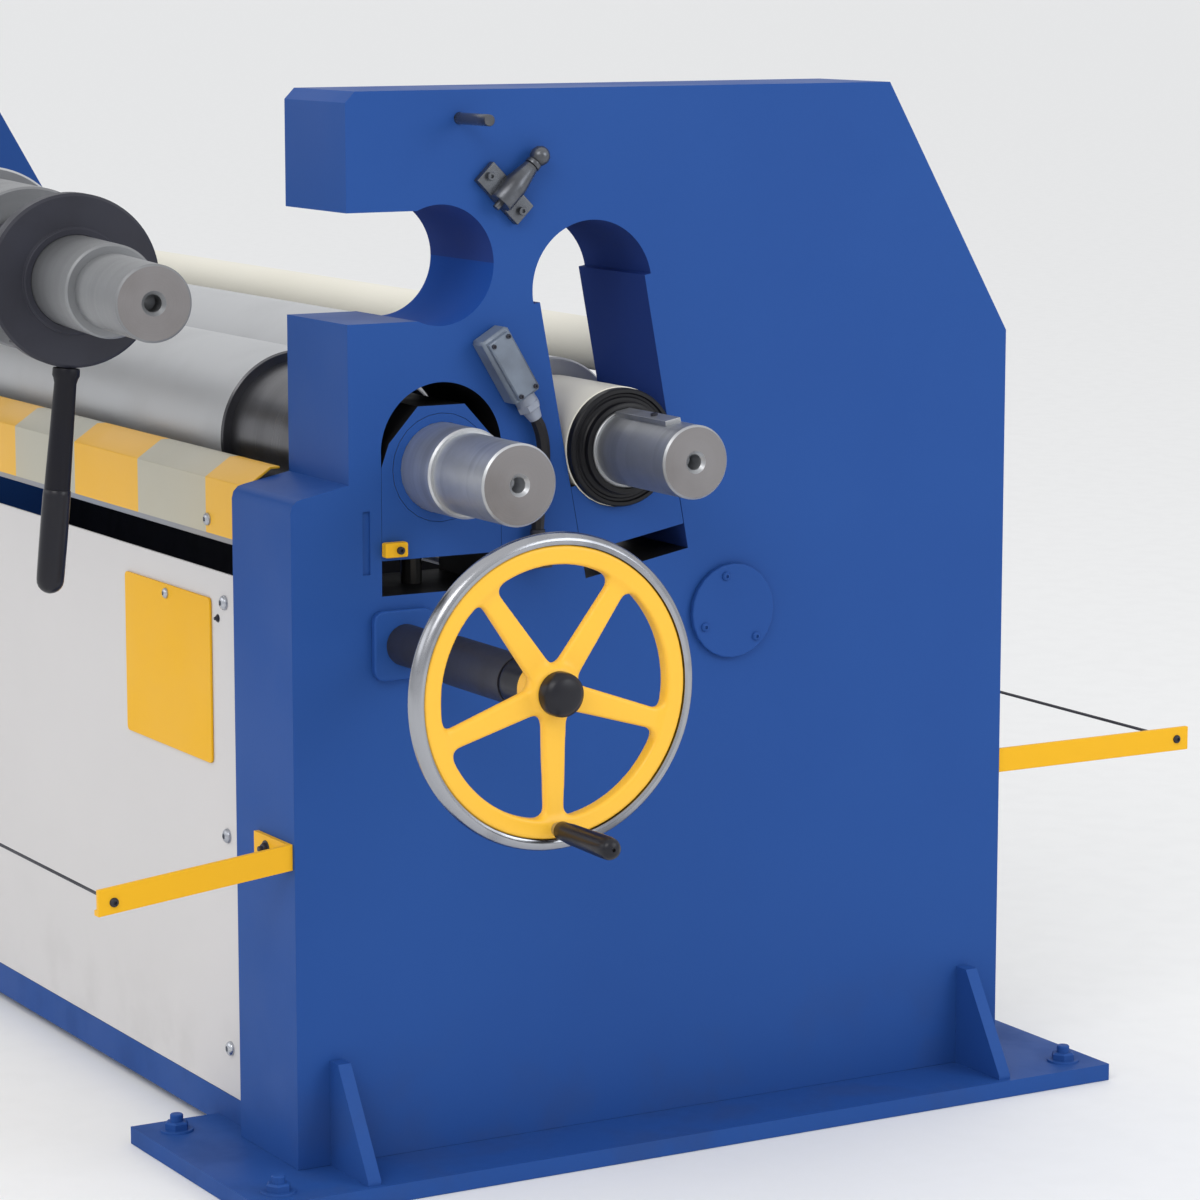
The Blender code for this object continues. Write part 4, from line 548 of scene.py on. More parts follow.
BLUE = Enamel(
    "Blue machine enamel", (0.02, 0.076, 0.287), 0.48, sheen=0.1, deep=(0.017, 0.064, 0.26)
)
# Painted shade: a darker copy of the blue enamel for the seat's upper half and the rear slots'
# upper walls.
BLUE_IN_PAINTED_SHADE = Enamel(
    "Shaded blue enamel", (0.019, 0.047, 0.215), 0.6, sheen=0.04, deep=(0.015, 0.036, 0.17)
)
# Painted light: a brighter copy of the blue enamel without its sheen, for the seat's lower half,
# which faces up.
BLUE_IN_PAINTED_LIGHT = Enamel(
    "Matt blue enamel", (0.012, 0.07, 0.33), 0.6, sheen=0.03, deep=(0.01, 0.06, 0.29)
)
# Painted shade: the greased slide walls and block sides in the slots are painted near-black for the
# shade in the gaps.
SLOT_SHADE_BLACK = RoughCoat("Greased slideway", (0.007, 0.007, 0.008), 0.5, sheen=0.2, grain=180.0)
# Painted shade: near-black for the inner faces of the panels, where shade falls inside the machine.
PANEL_INSIDE_SHADE = RoughCoat("Dark primer", (0.012, 0.012, 0.014), 0.7, sheen=0.1, grain=160.0)
YELLOW = Enamel(
    "Yellow enamel", (0.83, 0.445, 0.014), 0.42, deep=(0.76, 0.39, 0.024), dirt=(0.16, 0.1, 0.04)
)
CAST_YELLOW = Enamel(
    "Yellow enamel on casting", (0.9, 0.5, 0.04), 0.36, sheen=0.4, deep=(0.82, 0.44, 0.03), peel=0.3
)
STRIPES = StripedEnamel(
    "Striped rail enamel", (0.83, 0.44, 0.014), 0.36, sheen=0.3, deep=(0.6, 0.42, 0.14),
    dirt=(0.2, 0.18, 0.15), cloudiness=0.18,
)
PANEL_GREY = Enamel(
    "Light grey panel enamel", (0.63, 0.615, 0.615), 0.52, deep=(0.59, 0.58, 0.58),
    dirt=(0.3, 0.29, 0.28),
)
CREAM = Enamel(
    "Cream enamel", (0.8, 0.775, 0.68), 0.42, deep=(0.72, 0.69, 0.6), dirt=(0.3, 0.28, 0.24)
)
ROLL_COLOUR: Colour = (0.53, 0.54, 0.555)
ROLL_SHADE: Colour = (0.4, 0.4, 0.4)
JOURNAL_COLOUR: Colour = (0.36, 0.37, 0.385)
JOURNAL_SHADE: Colour = (0.17, 0.17, 0.18)
END_COLOUR: Colour = (0.235, 0.225, 0.228)


def roll_finishes(roll: str, axis: Place, journal_light: float, swing: float = 0.0) -> tuple:
    """Gives a roll's finishes, with the marks centred on its axis.

    Args:
        roll: The roll's name in the materials.
        axis: A point on its axis.
        journal_light: How much lighter or darker its journals are painted, as painted light and
            shade.
        swing: How far its axis is turned about Z from X.

    Returns:
        The ground barrel, the turned journals and the faced ends.
    """
    barrel = TurnedMetal(
        "Ground barrel, " + roll, ROLL_COLOUR, 0.48, 0.7, dark=ROLL_SHADE, axis=axis, swing=swing,
        density=420.0, marks=0.04, smudges=0.12,
    )
    bright = tuple(part * journal_light for part in JOURNAL_COLOUR)
    journal = TurnedMetal(
        "Turned journals, " + roll, bright, 0.4, 0.8, dark=JOURNAL_SHADE, axis=axis, swing=swing,
        marks=0.5, smudges=0.45,
    )
    end = TurnedMetal(
        "Faced ends, " + roll, END_COLOUR, 0.5, 0.7, dark=(0.15, 0.135, 0.13), axis=axis,
        swing=swing,
        density=700.0, marks=0.4, smudges=0.5,
    )
    return barrel, journal, end


# Painted light and shade: the top roll's journals are painted darker and the front and rear rolls'
# lighter.
TOP_GROUND, TOP_TURNED, TOP_FACED = roll_finishes("top roll", tuple(PIVOT), 0.7, -SWING)
FRONT_GROUND, FRONT_TURNED, FRONT_FACED = roll_finishes("front roll", FRONT_AT, 1.5)
REAR_GROUND, REAR_TURNED, REAR_FACED = roll_finishes("rear roll", REAR_AT, 1.2)
# Painted shade: dark steel for the front roll's end shoulders and necks, in the gap between roll
# and frame.
NECK_STEEL_IN_SHADE = TurnedMetal(
    "Dark steel of the roll necks", (0.15, 0.15, 0.16), 0.3, 0.9, dark=(0.02, 0.02, 0.024),
    axis=FRONT_AT, density=300.0, marks=0.4, smudges=0.5,
)
BRIGHT_STEEL = TurnedMetal(
    "Bright turned steel", (0.52, 0.53, 0.55), 0.3, 0.95, dark=(0.3, 0.3, 0.32), axis=WHEEL_AT,
    marks=0.3,
)
RIM_CHROME = TurnedMetal(
    "Polished wheel rim", (0.42, 0.43, 0.46), 0.2, 1.0, dark=(0.1, 0.105, 0.12), axis=WHEEL_AT,
    density=700.0, marks=0.35, smudges=0.75,
)
# Painted shade: greased steel painted near-black, for the lift screws in the shade under the
# bearing blocks.
GREASED_STEEL_IN_SHADE = RoughCoat(
    "Greased steel", (0.03, 0.03, 0.03), 0.35, 0.5, dark=(0.008, 0.008, 0.008), depth=0.1
)
SCREW_STEEL = RoughCoat(
    "Zinc plated screws", (0.5, 0.52, 0.56), 0.3, 0.9, dark=(0.25, 0.26, 0.3), depth=0.08
)
LATCH_STEEL = RoughCoat(
    "Dark latch steel", (0.15, 0.16, 0.18), 0.28, 0.8, dark=(0.04, 0.04, 0.045), grain=240.0,
    patches=0.75,
)
BLACK_OXIDE = RoughCoat(
    "Black oxide steel", (0.024, 0.025, 0.037), 0.46, sheen=0.33, dark=(0.012, 0.012, 0.018)
)
LEVER_BLACK = RoughCoat(
    "Black enamelled lever", (0.006, 0.006, 0.0105), 0.42, sheen=0.2, depth=0.12
)
BLACK_PLASTIC = RoughCoat(
    "Black moulded plastic", (0.009, 0.009, 0.014), 0.34, sheen=0.3, depth=0.12
)
CABLE_BLACK = RoughCoat("Black cable jacket", (0.009, 0.009, 0.012), 0.42, sheen=0.3, depth=0.1)
SEAL_BLACK = RoughCoat("Black rubber seal", (0.005, 0.005, 0.007), 0.4, sheen=0.25, depth=0.15)
BRONZE = RoughCoat(
    "Bearing bronze", (0.46, 0.27, 0.09), 0.36, 0.95, dark=(0.25, 0.14, 0.05), depth=0.1
)
CAST_GREY = Enamel(
    "Grey motor enamel", (0.13, 0.155, 0.18), 0.46, deep=(0.1, 0.12, 0.14), dirt=(0.05, 0.05, 0.05),
    peel=0.5,
)
SWITCH_GREY = RoughCoat(
    "Grey die cast switch", (0.17, 0.205, 0.26), 0.42, 0.2, dark=(0.07, 0.08, 0.105), grain=420.0,
    patches=0.5,
)
GLAND_GREY = RoughCoat(
    "Pale cable gland", (0.28, 0.31, 0.38), 0.42, dark=(0.15, 0.16, 0.2), depth=0.08
)
FLOOR = RoughCoat(
    "Studio floor", (0.86, 0.865, 0.87), 0.7, dark=(0.83, 0.835, 0.84), grain=30.0, depth=0.02
)


def clear_selection() -> None:
    """Goes to object mode with nothing selected."""
    if bpy.context.object and bpy.context.object.mode != "OBJECT":
        bpy.ops.object.mode_set(mode="OBJECT")
    bpy.ops.object.select_all(action="DESELECT")


def pick(piece: bpy.types.Object) -> None:
    """Makes a piece the only one selected.

    Args:
        piece: The object to work on.
    """
    clear_selection()
    piece.select_set(True)
    bpy.context.view_layer.objects.active = piece


def settle(piece: bpy.types.Object, place: Matrix) -> None:
    """Puts a piece's place into its mesh, with the object at the origin.

    Args:
        piece: The object to place.
        place: Where it goes, from its own frame to the machine's.
    """
    pick(piece)
    piece.matrix_world = place @ piece.matrix_world
    bpy.ops.object.transform_apply(location=True, rotation=True, scale=True)


@contextmanager
def editing(piece: bpy.types.Object, kind: str = "VERT") -> Iterator[None]:
    """Opens a piece in edit mode with all of it selected, and closes it at the end.

    Args:
        piece: The piece to edit.
        kind: What is selected: VERT or EDGE.

    Yields:
        Nothing.
    """
    pick(piece)
    bpy.ops.object.mode_set(mode="EDIT")
    bpy.ops.mesh.select_mode(type=kind)
    bpy.ops.mesh.select_all(action="SELECT")
    yield
    bpy.ops.object.mode_set(mode="OBJECT")


def applied(piece: bpy.types.Object, kind: str, **settings: object) -> None:
    """Adds one modifier to the active piece and applies it.

    Args:
        piece: The piece, which is the active object.
        kind: The modifier's type.
        settings: Its properties.
    """
    modifier = piece.modifiers.new(kind.title(), kind)
    for key, value in settings.items():
        setattr(modifier, key, value)
    bpy.ops.object.modifier_apply(modifier=modifier.name)


def select_where(piece: bpy.types.Object, test: Callable[[Vector], bool]) -> None:
    """Selects the vertices of the piece in edit mode that pass a test of their place.

    Args:
        piece: The piece, in edit mode.
        test: Says whether a vertex is wanted.
    """
    bpy.ops.mesh.select_all(action="DESELECT")
    shape = bmesh.from_edit_mesh(piece.data)
    for vertex in shape.verts:
        vertex.select = test(vertex.co)
    shape.select_flush(True)
    bmesh.update_edit_mesh(piece.data)


def break_edges(
    piece: bpy.types.Object, width: float, segments: int = 2, angle: float = 38.0
) -> None:
    """Rounds a piece's sharp edges and shades the rest smooth.

    Args:
        piece: The object to finish.
        width: The rounding's width in metres, or 0 for shading alone.
        segments: How many faces each rounding has.
        angle: Edges sharper than this many degrees are rounded.
    """
    pick(piece)
    bpy.ops.object.shade_smooth_by_angle(angle=math.radians(angle))
    if width:
        applied(
            piece, "BEVEL", width=width, segments=segments, limit_method="ANGLE",
            angle_limit=math.radians(angle), harden_normals=True,
        )


def paint(piece: bpy.types.Object, finishes: list[Finish], choose: Chooser | None = None) -> None:
    """Gives a piece its finishes.

    Args:
        piece: The object to paint.
        finishes: Its materials in order.
        choose: Picks one by a face's centre and normal, or None where there is only one.
    """
    piece.data.materials.clear()
    for finish in finishes:
        piece.data.materials.append(finish.material())
    for face in piece.data.polygons:
        face.material_index = choose(face.center, face.normal) if choose else 0


def turned(name: str, profile: Profile, segments: int = 96, ring: bool = False) -> bpy.types.Object:
    """Turns a profile round Z: a circle is extruded and resized from one point to the next.

    Args:
        name: The new object's name.
        profile: Pairs of radius and height.
        segments: How many sides the turned shape has.
        ring: True where the profile closes on itself round an open middle.

    Returns:
        The turned object, round its own Z axis.
    """
    clear_selection()
    radius, height = profile[0]
    bpy.ops.mesh.primitive_circle_add(vertices=segments, radius=radius, location=(0, 0, height))
    piece = bpy.context.object
    piece.name = name
    bpy.ops.object.transform_apply(location=True, rotation=False, scale=False)
    path = profile + profile[:1] if ring else profile
    with editing(piece):
        for (near, start), (far, end) in zip(path, path[1:]):
            bpy.ops.mesh.extrude_region_move(TRANSFORM_OT_translate={"value": (0, 0, end - start)})
            bpy.ops.transform.resize(value=(far / near, far / near, 1), center_override=(0, 0, end))
        if not ring:
            bpy.ops.mesh.edge_face_add()
            select_where(
                piece, lambda co: math.hypot(co.z - height, co.xy.length - radius) < SAME_SPOT
            )
            bpy.ops.mesh.edge_face_add()
        bpy.ops.mesh.select_all(action="SELECT")
        bpy.ops.mesh.remove_doubles(threshold=SAME_SPOT)
        bpy.ops.mesh.normals_make_consistent(inside=False)
    return piece


def dome(radius: float, low: float, high: float, steps: int = 5) -> Profile:
    """A quarter round from a rim up to a small flat on top.

    Args:
        radius: The dome's radius at its rim.
        low: The rim's height.
        high: The top's height.
        steps: How many points the round has.

    Returns:
        The profile, from the top down.
    """
    points = []
    for step in range(steps + 1):
        angle = math.radians(82) * (1 - step / steps)
        points.append((radius * math.cos(angle), low + (high - low) * math.sin(angle)))
    return points


def block(
    name: str, low: tuple, high: tuple, place: Matrix = Matrix.Identity(4), edge: float = 0.0
) -> bpy.types.Object:
    """A box with broken edges.

    Args:
        name: The new object's name.
        low: Its lowest corner.
        high: Its highest corner.
        place: From the corners' frame to the machine's.
        edge: The width of its broken edges.

    Returns:
        The placed box.
    """
    clear_selection()
    first, last = Vector(low), Vector(high)
    bpy.ops.mesh.primitive_cube_add(size=1, location=(first + last) / 2, scale=last - first)
    piece = bpy.context.object
    piece.name = name
    settle(piece, place)
    break_edges(piece, edge)
    return piece


def carve(piece: bpy.types.Object, cutter: bpy.types.Object) -> None:
    """Takes a cutter away from a piece and removes the cutter.

    Args:
        piece: The object to cut.
        cutter: The shape to take away.
    """
    pick(piece)
    applied(piece, "BOOLEAN", operation="DIFFERENCE", object=cutter)
    bpy.data.objects.remove(cutter, do_unlink=True)


class Workshop:
    """Holds the loaded frame and hands out its nodes, and reports what is made."""

    def __init__(self, frame: dict) -> None:
        """Keeps the frame.
        """
        self.nodes = frame["nodes"]
        self.screw_masters: dict[ScrewHead, bpy.types.Object] = {}

    def finish(self, piece: bpy.types.Object, body: Body, replaced: str = "") -> None:
        """Hangs a finished piece on its body and reports it.

        Args:
            piece: The finished piece.
            body: What it moves with.
            replaced: The CAD node that it stands for, where its own name doesn't say so.
        """
        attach(piece, body.value)
        if piece.name.endswith(DONE):
            replaced = replaced or piece.name.removesuffix(DONE)
        if replaced:
            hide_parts(replaced)
        LOG.info("%s rides on %s", piece.name, body.value)

    def dress(self, node: str, finish: Finish) -> None:
        """Paints a CAD node that stays."""
        paint(self.nodes[node], [finish])
        LOG.info("%s is painted", node)

    def welded(self, node: str) -> bpy.types.Object:
        """Copies a CAD node and welds the copy.

        Args:
            node: The node's name.

        Returns:
            The welded copy.
        """
        mesh = self.nodes[node].data.copy()
        piece = bpy.data.objects.new(node + DONE, mesh)
        bpy.context.scene.collection.objects.link(piece)
        pick(piece)
        if mesh.has_custom_normals:
            bpy.ops.mesh.customdata_custom_splitnormals_clear()
        with editing(piece):
            bpy.ops.mesh.remove_doubles(threshold=WELD)
            bpy.ops.mesh.dissolve_limited(angle_limit=FLAT_ENOUGH)
            bpy.ops.mesh.normals_make_consistent(inside=False)
        return piece

    def refined(
        self, node: str, body: Body, finishes: list[Finish], edge: float,
        choose: Chooser | None = None, segments: int = 2,
    ) -> bpy.types.Object:
        """Makes a welded copy of a CAD node with rounded edges, which stands for it.

        Args:
            node: The node's name.
            body: What it moves with.
            finishes: Its finishes.
            edge: The width of its rounded edges.
            choose: Picks a finish by a face's centre and normal.
            segments: How many faces each rounding has.

        Returns:
            The finished piece.
        """
        piece = self.welded(node)
        break_edges(piece, edge, segments)
        paint(piece, finishes, choose)
        self.finish(piece, body)
        return piece

    def lathe(
        self, name: str, profile: Profile, place: Matrix, body: Body, finish: Finish,
        edge: float = 0.0, ring: bool = False, segments: int = 96, replaced: str = "",
    ) -> None:
        """Turns a piece, rounds its edges, paints it and places it.

        Args:
            name: The piece's name.
            profile: Pairs of radius and height along its axis.
            place: From its own frame, with Z as its axis, to the machine's.
            body: What it moves with.
            finish: Its finish.
            edge: The width of its rounded edges.
            ring: True where the profile closes on itself.
            segments: How many sides it has.
            replaced: The CAD node that it stands for, where its name doesn't say so.
        """
        piece = turned(name, profile, segments, ring)
        break_edges(piece, edge)
        paint(piece, [finish])
        settle(piece, place)
        self.finish(piece, body, replaced)

    def master(self, head: ScrewHead) -> bpy.types.Object:
        """Gives the model of a screw head of unit size, made on first use.

        Args:
            head: The kind of head.

        Returns:
            The model, which is removed at the end.
        """
        if head in self.screw_masters:
            return self.screw_masters[head]
        if head is ScrewHead.BUTTON:
            piece = turned("screw_model", [*dome(1.0, 0.15, 0.75), (1.0, -0.1)], 32)
            cutter = turned("socket_model", [(0.42, 1.2), (0.42, 0.35)], 6)
            carve(piece, cutter)
        elif head is ScrewHead.SOCKET:
            piece = turned("screw_model", [(0.92, 1.0), (1.0, 0.9), (1.0, -0.1)], 32)
            cutter = turned("socket_model", [(0.5, 1.3), (0.5, 0.45)], 6)
            carve(piece, cutter)
        else:
            piece = turned("screw_model", [(0.9, 0.85), (1.1, 0.7), (1.1, -0.1)], 6)
            washer = turned("washer_model", [(1.45, 0.18), (1.5, 0.1), (1.5, -0.1)], 32)
            stud = turned("stud_model", [(0.5, 1.5), (0.58, 1.4), (0.58, 0.2)], 24)
            pick(piece)
            washer.select_set(True)
            stud.select_set(True)
            bpy.ops.object.join()
        break_edges(piece, 0.0)
        self.screw_masters[head] = piece
        return piece

    def screw(
        self, name: str, head: ScrewHead, radius: float, place: Matrix,
        finish: Finish = SCREW_STEEL, body: Body = Body.MACHINE,
    ) -> None:
        """Puts one screw head down.

        Args:
            name: The screw's name.
            head: The kind of head.
            radius: Its radius in metres.
            place: A frame whose Z points out of the surface at the screw.
            finish: Its finish.
            body: What it moves with.
        """
        pick(self.master(head))
        bpy.ops.object.duplicate(linked=False)
        piece = bpy.context.object
        piece.name = name
        settle(piece, place @ Matrix.Scale(radius, 4))
        paint(piece, [finish])
        self.finish(piece, body)

    def tidy(self) -> None:
        """Removes the screw models, which aren't pieces of the machine."""
        for piece in self.screw_masters.values():
            bpy.data.objects.remove(piece, do_unlink=True)
        self.screw_masters.clear()


def facing(point: Vector | tuple, normal: tuple) -> Matrix:
    """A frame at a point of a surface whose Z points out of it, along the normal."""
    turn = Vector(normal).to_track_quat("Z", "Y").to_matrix().to_4x4()
    return Matrix.Translation(point) @ turn


def across_x(centre: Vector, normal: Vector) -> int:
    """Gives 0 for a face that looks along X and 1 for any other."""
    return 0 if abs(normal.x) > 0.5 else 1


def along_x(point: Vector) -> Matrix:
    """A frame at a point whose Z runs along +X."""
    return Matrix.Translation(point) @ ALONG_X


SWUNG = Matrix.Translation(PIVOT) @ Matrix.Rotation(-SWING, 4, "Z")


@dataclass
class Assembly:
    """A sub-assembly of the machine and the workshop that makes it."""

    shop: Workshop


@dataclass
class EndFrames(Assembly):
    """The two end frames, the welded base and the fasteners in them."""

    edge: float = 0.0025
    base_edge: float = 0.0015
    anchor_x: tuple = (1.35, 1.62)
    anchor_y: tuple = (-0.49, 0.565)
    anchor_radius: float = 0.0131
    base_top: float = 0.02
    slot_half: float = 0.0765
    slot_low: float = 0.64
    slot_high: float = 0.9
    rear_reach: float = 0.08
    rear_black: float = -0.03
    seat_radius: float = 0.066
    front_arch: tuple = (0.0745, 0.0195)
    rear_arch: tuple = (0.0765, 0.1825)
    over: float = 0.0002
    past: float = 0.01
    rear_slot: tuple = (-0.145, 0.27)
    on_seat: float = 0.002

    def finish_index(self, centre: Vector, normal: Vector) -> int:
        """Tells the slot walls and seat halves in painted light and shade from the plain painted
        faces.

        Args:
            centre: A face's centre.
            normal: Its normal.

        Returns:
            0 for blue, 1 for near-black painted shade, 2 for blue in painted shade, 3 for blue in
            painted light.
        """
        if abs(normal.x) > 0.5 or abs(centre.x) > FACE_X or abs(centre.x) < INNER_X:
            return 0
        from_seat = (centre - SEAT).yz
        # Painted light and shade in the seat bore: the upper half gets the shaded blue, the lower
        # half the lit blue.
        if centre.x > 0 and abs(from_seat.length - self.seat_radius) < self.on_seat:
            return 2 if from_seat.y > 0 else 3
        # Painted shade: the front slot's walls are near-black.
        if abs(centre.y - SEAT.y) < self.slot_half and self.slot_low < centre.z < self.slot_high:
            return 1
        offset = centre - REAR_AXIS
        rise = -offset.y * math.sin(REAR_TILT) + offset.z * math.cos(REAR_TILT)
        across = offset.y * math.cos(REAR_TILT) + offset.z * math.sin(REAR_TILT)
        low, high = self.rear_slot
        if abs(across) > self.rear_reach or not low < rise < high:
            return 0
        # Painted shade: the rear slot's walls are near-black low down and shaded blue above
        # rear_black.
        return 1 if rise < self.rear_black else 2

    def round_arches(self, piece: bpy.types.Object, side: int) -> None:
        """Bores the seat and the tops of the slots truly round.

        Args:
            piece: The frame's copy.
            side: 1 for the drop end and -1 for the drive end.
        """
        front_radius, front_rise = self.front_arch
        rear_radius, rear_rise = self.rear_arch
        tilt = Matrix.Rotation(REAR_TILT, 4, "X")
        upright = Matrix.Translation(FRONT_AXIS + Vector((0, 0, front_rise)))
        slanted = Matrix.Translation(REAR_AXIS) @ tilt @ Matrix.Translation((0, 0, rear_rise))
        bores = [
            ("front_arch", upright, front_radius, True), ("rear_arch", slanted, rear_radius, True),
        ]
        if side > 0:
            bores.append(("seat", Matrix.Translation(SEAT), self.seat_radius, False))
        for name, place, radius, halved in bores:
            low, high = sorted((side * (INNER_X - self.past), side * (FACE_X + self.past)))
            reach = radius + self.over
            cutter = turned(name + "_cutter", [(reach, high), (reach, low)], 96)
            settle(cutter, ALONG_X)
            if halved:
                with editing(cutter):
                    bpy.ops.mesh.bisect(
                        plane_co=(0, 0, self.over), plane_no=(0, 0, 1), use_fill=True,
                        clear_inner=True,
                    )
            settle(cutter, place)
            carve(piece, cutter)

    def build(self) -> None:
        """Dresses the frames and the base."""
        for end, side in ENDS:
            piece = self.shop.welded(end + "_end_frame")
            self.round_arches(piece, side)
            break_edges(piece, self.edge)
            # The frames carry painted shade in their slots and painted light and shade in the seat.
            paint(piece, [BLUE, SLOT_SHADE_BLACK, BLUE_IN_PAINTED_SHADE, BLUE_IN_PAINTED_LIGHT], self.finish_index)
            self.shop.finish(piece, Body.MACHINE)
        self.shop.refined("base_frame", Body.MACHINE, [BLUE], self.base_edge)
        spots = product(ENDS, self.anchor_x, self.anchor_y)
        for index, ((end, side), x, y) in enumerate(spots):
            place = Matrix.Translation((side * x, y, self.base_top))
            name = "anchor_nut_{}_{}".format(end, index)
            self.shop.screw(name, ScrewHead.HEXAGON, self.anchor_radius, place, BLUE)


@dataclass
class Covers(Assembly):
    """The panels, the yellow access cover, the striped rail and the tube at the back."""

    panel_y: float = -0.42
    panel_edge: float = 0.0008
    screw_x: tuple = (-1.35, -0.45, 0.45, 1.35)
    screw_z: tuple = (0.6265, 0.357, 0.107)
    cover_screw_z: float = 0.6165
    cover_corner: float = 0.006
    thin: float = 0.001
    catch: tuple = (1.331, 0.606)
    rear_inset: float = 0.03
    rail_screw_z: float = 0.717
    rail_inset: float = 0.042
    rail_screw: float = 0.007225
    cover_screw: float = 0.0062
    catch_size: float = 0.0032
    far_end: float = 2.0
    cover_edge: float = 0.0007
    rail_edge: float = 0.001
    tube_edge: float = 0.001
    tube_sides: int = 64

    def build(self) -> None:
        """Dresses the sheets and puts their screws in."""
        for name, outward in (("front_panel", -1), ("rear_panel", 1)):
            # The inner faces of the panels are painted near-black as painted shade.
            self.shop.refined(
                name, Body.MACHINE, [PANEL_GREY, PANEL_INSIDE_SHADE], self.panel_edge,
                lambda centre, normal, outward=outward: 1 if normal.y * outward < -0.5 else 0,
            )
        self.shop.refined("guard_rail", Body.MACHINE, [STRIPES], self.rail_edge)
        self.access_cover()
        self.tube()
        rear_low, rear_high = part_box("rear_panel")
        rear_z = (("low", rear_low.z + self.rear_inset), ("high", rear_high.z - self.rear_inset))
        for x in self.screw_x:
            mark = "{:.0f}".format((x + self.far_end) * 1000)
            for z in self.screw_z:
                self.button("panel_screw_{}_{:.0f}".format(mark, z * 1000), (x, self.panel_y, z))
            inner_x = x - self.rail_inset * math.copysign(1, x)
            point = (inner_x, self.panel_y, self.rail_screw_z)
            self.button("rail_screw_" + mark, point, self.rail_screw)
            for label, z in rear_z:
                name = "rear_screw_{}_{}".format(mark, label)
                self.button(name, (x, rear_high.y, z), normal=TO_BACK)

    def button(
        self, name: str, point: Place, radius: float = 0.0085, normal: Place = TO_FRONT
    ) -> None:
        """Puts a button head screw into a sheet."""
        self.shop.screw(name, ScrewHead.BUTTON, radius, facing(point, normal))

    def access_cover(self) -> None:
        """Makes the yellow cover with rounded corners, its screw and the catch beside it."""
        low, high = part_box("access_cover")
        piece = block("access_cover" + DONE, low, high)
        with editing(piece, "EDGE"):
            bpy.ops.mesh.select_all(action="DESELECT")
            shape = bmesh.from_edit_mesh(piece.data)
            for edge in shape.edges:
                edge.select = abs(edge.verts[0].co.y - edge.verts[1].co.y) > self.thin
            bmesh.update_edit_mesh(piece.data)
            bpy.ops.mesh.bevel(offset=self.cover_corner, segments=4, affect="EDGES")
        break_edges(piece, self.cover_edge)
        paint(piece, [YELLOW])
        self.shop.finish(piece, Body.MACHINE)
        middle = ((low.x + high.x) / 2, low.y, self.cover_screw_z)
        self.button("cover_screw", middle, self.cover_screw)
        spot = facing((self.catch[0], self.panel_y, self.catch[1]), TO_FRONT)
        self.shop.screw("cover_catch", ScrewHead.HEXAGON, self.catch_size, spot, BLACK_OXIDE)

    def tube(self) -> None:
        """Makes the cream tube behind the rolls."""
        low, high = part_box("rear_tie_tube")
        radius = (high.z - low.z) / 2
        centre = Vector((0.0, (low.y + high.y) / 2, (low.z + high.z) / 2))
        profile = [(radius, high.x), (radius, low.x)]
        self.shop.lathe(
            "tie_tube_finished", profile, along_x(centre), Body.MACHINE, CREAM,
            edge=self.tube_edge, segments=self.tube_sides,
            replaced="rear_tie_tube",
        )


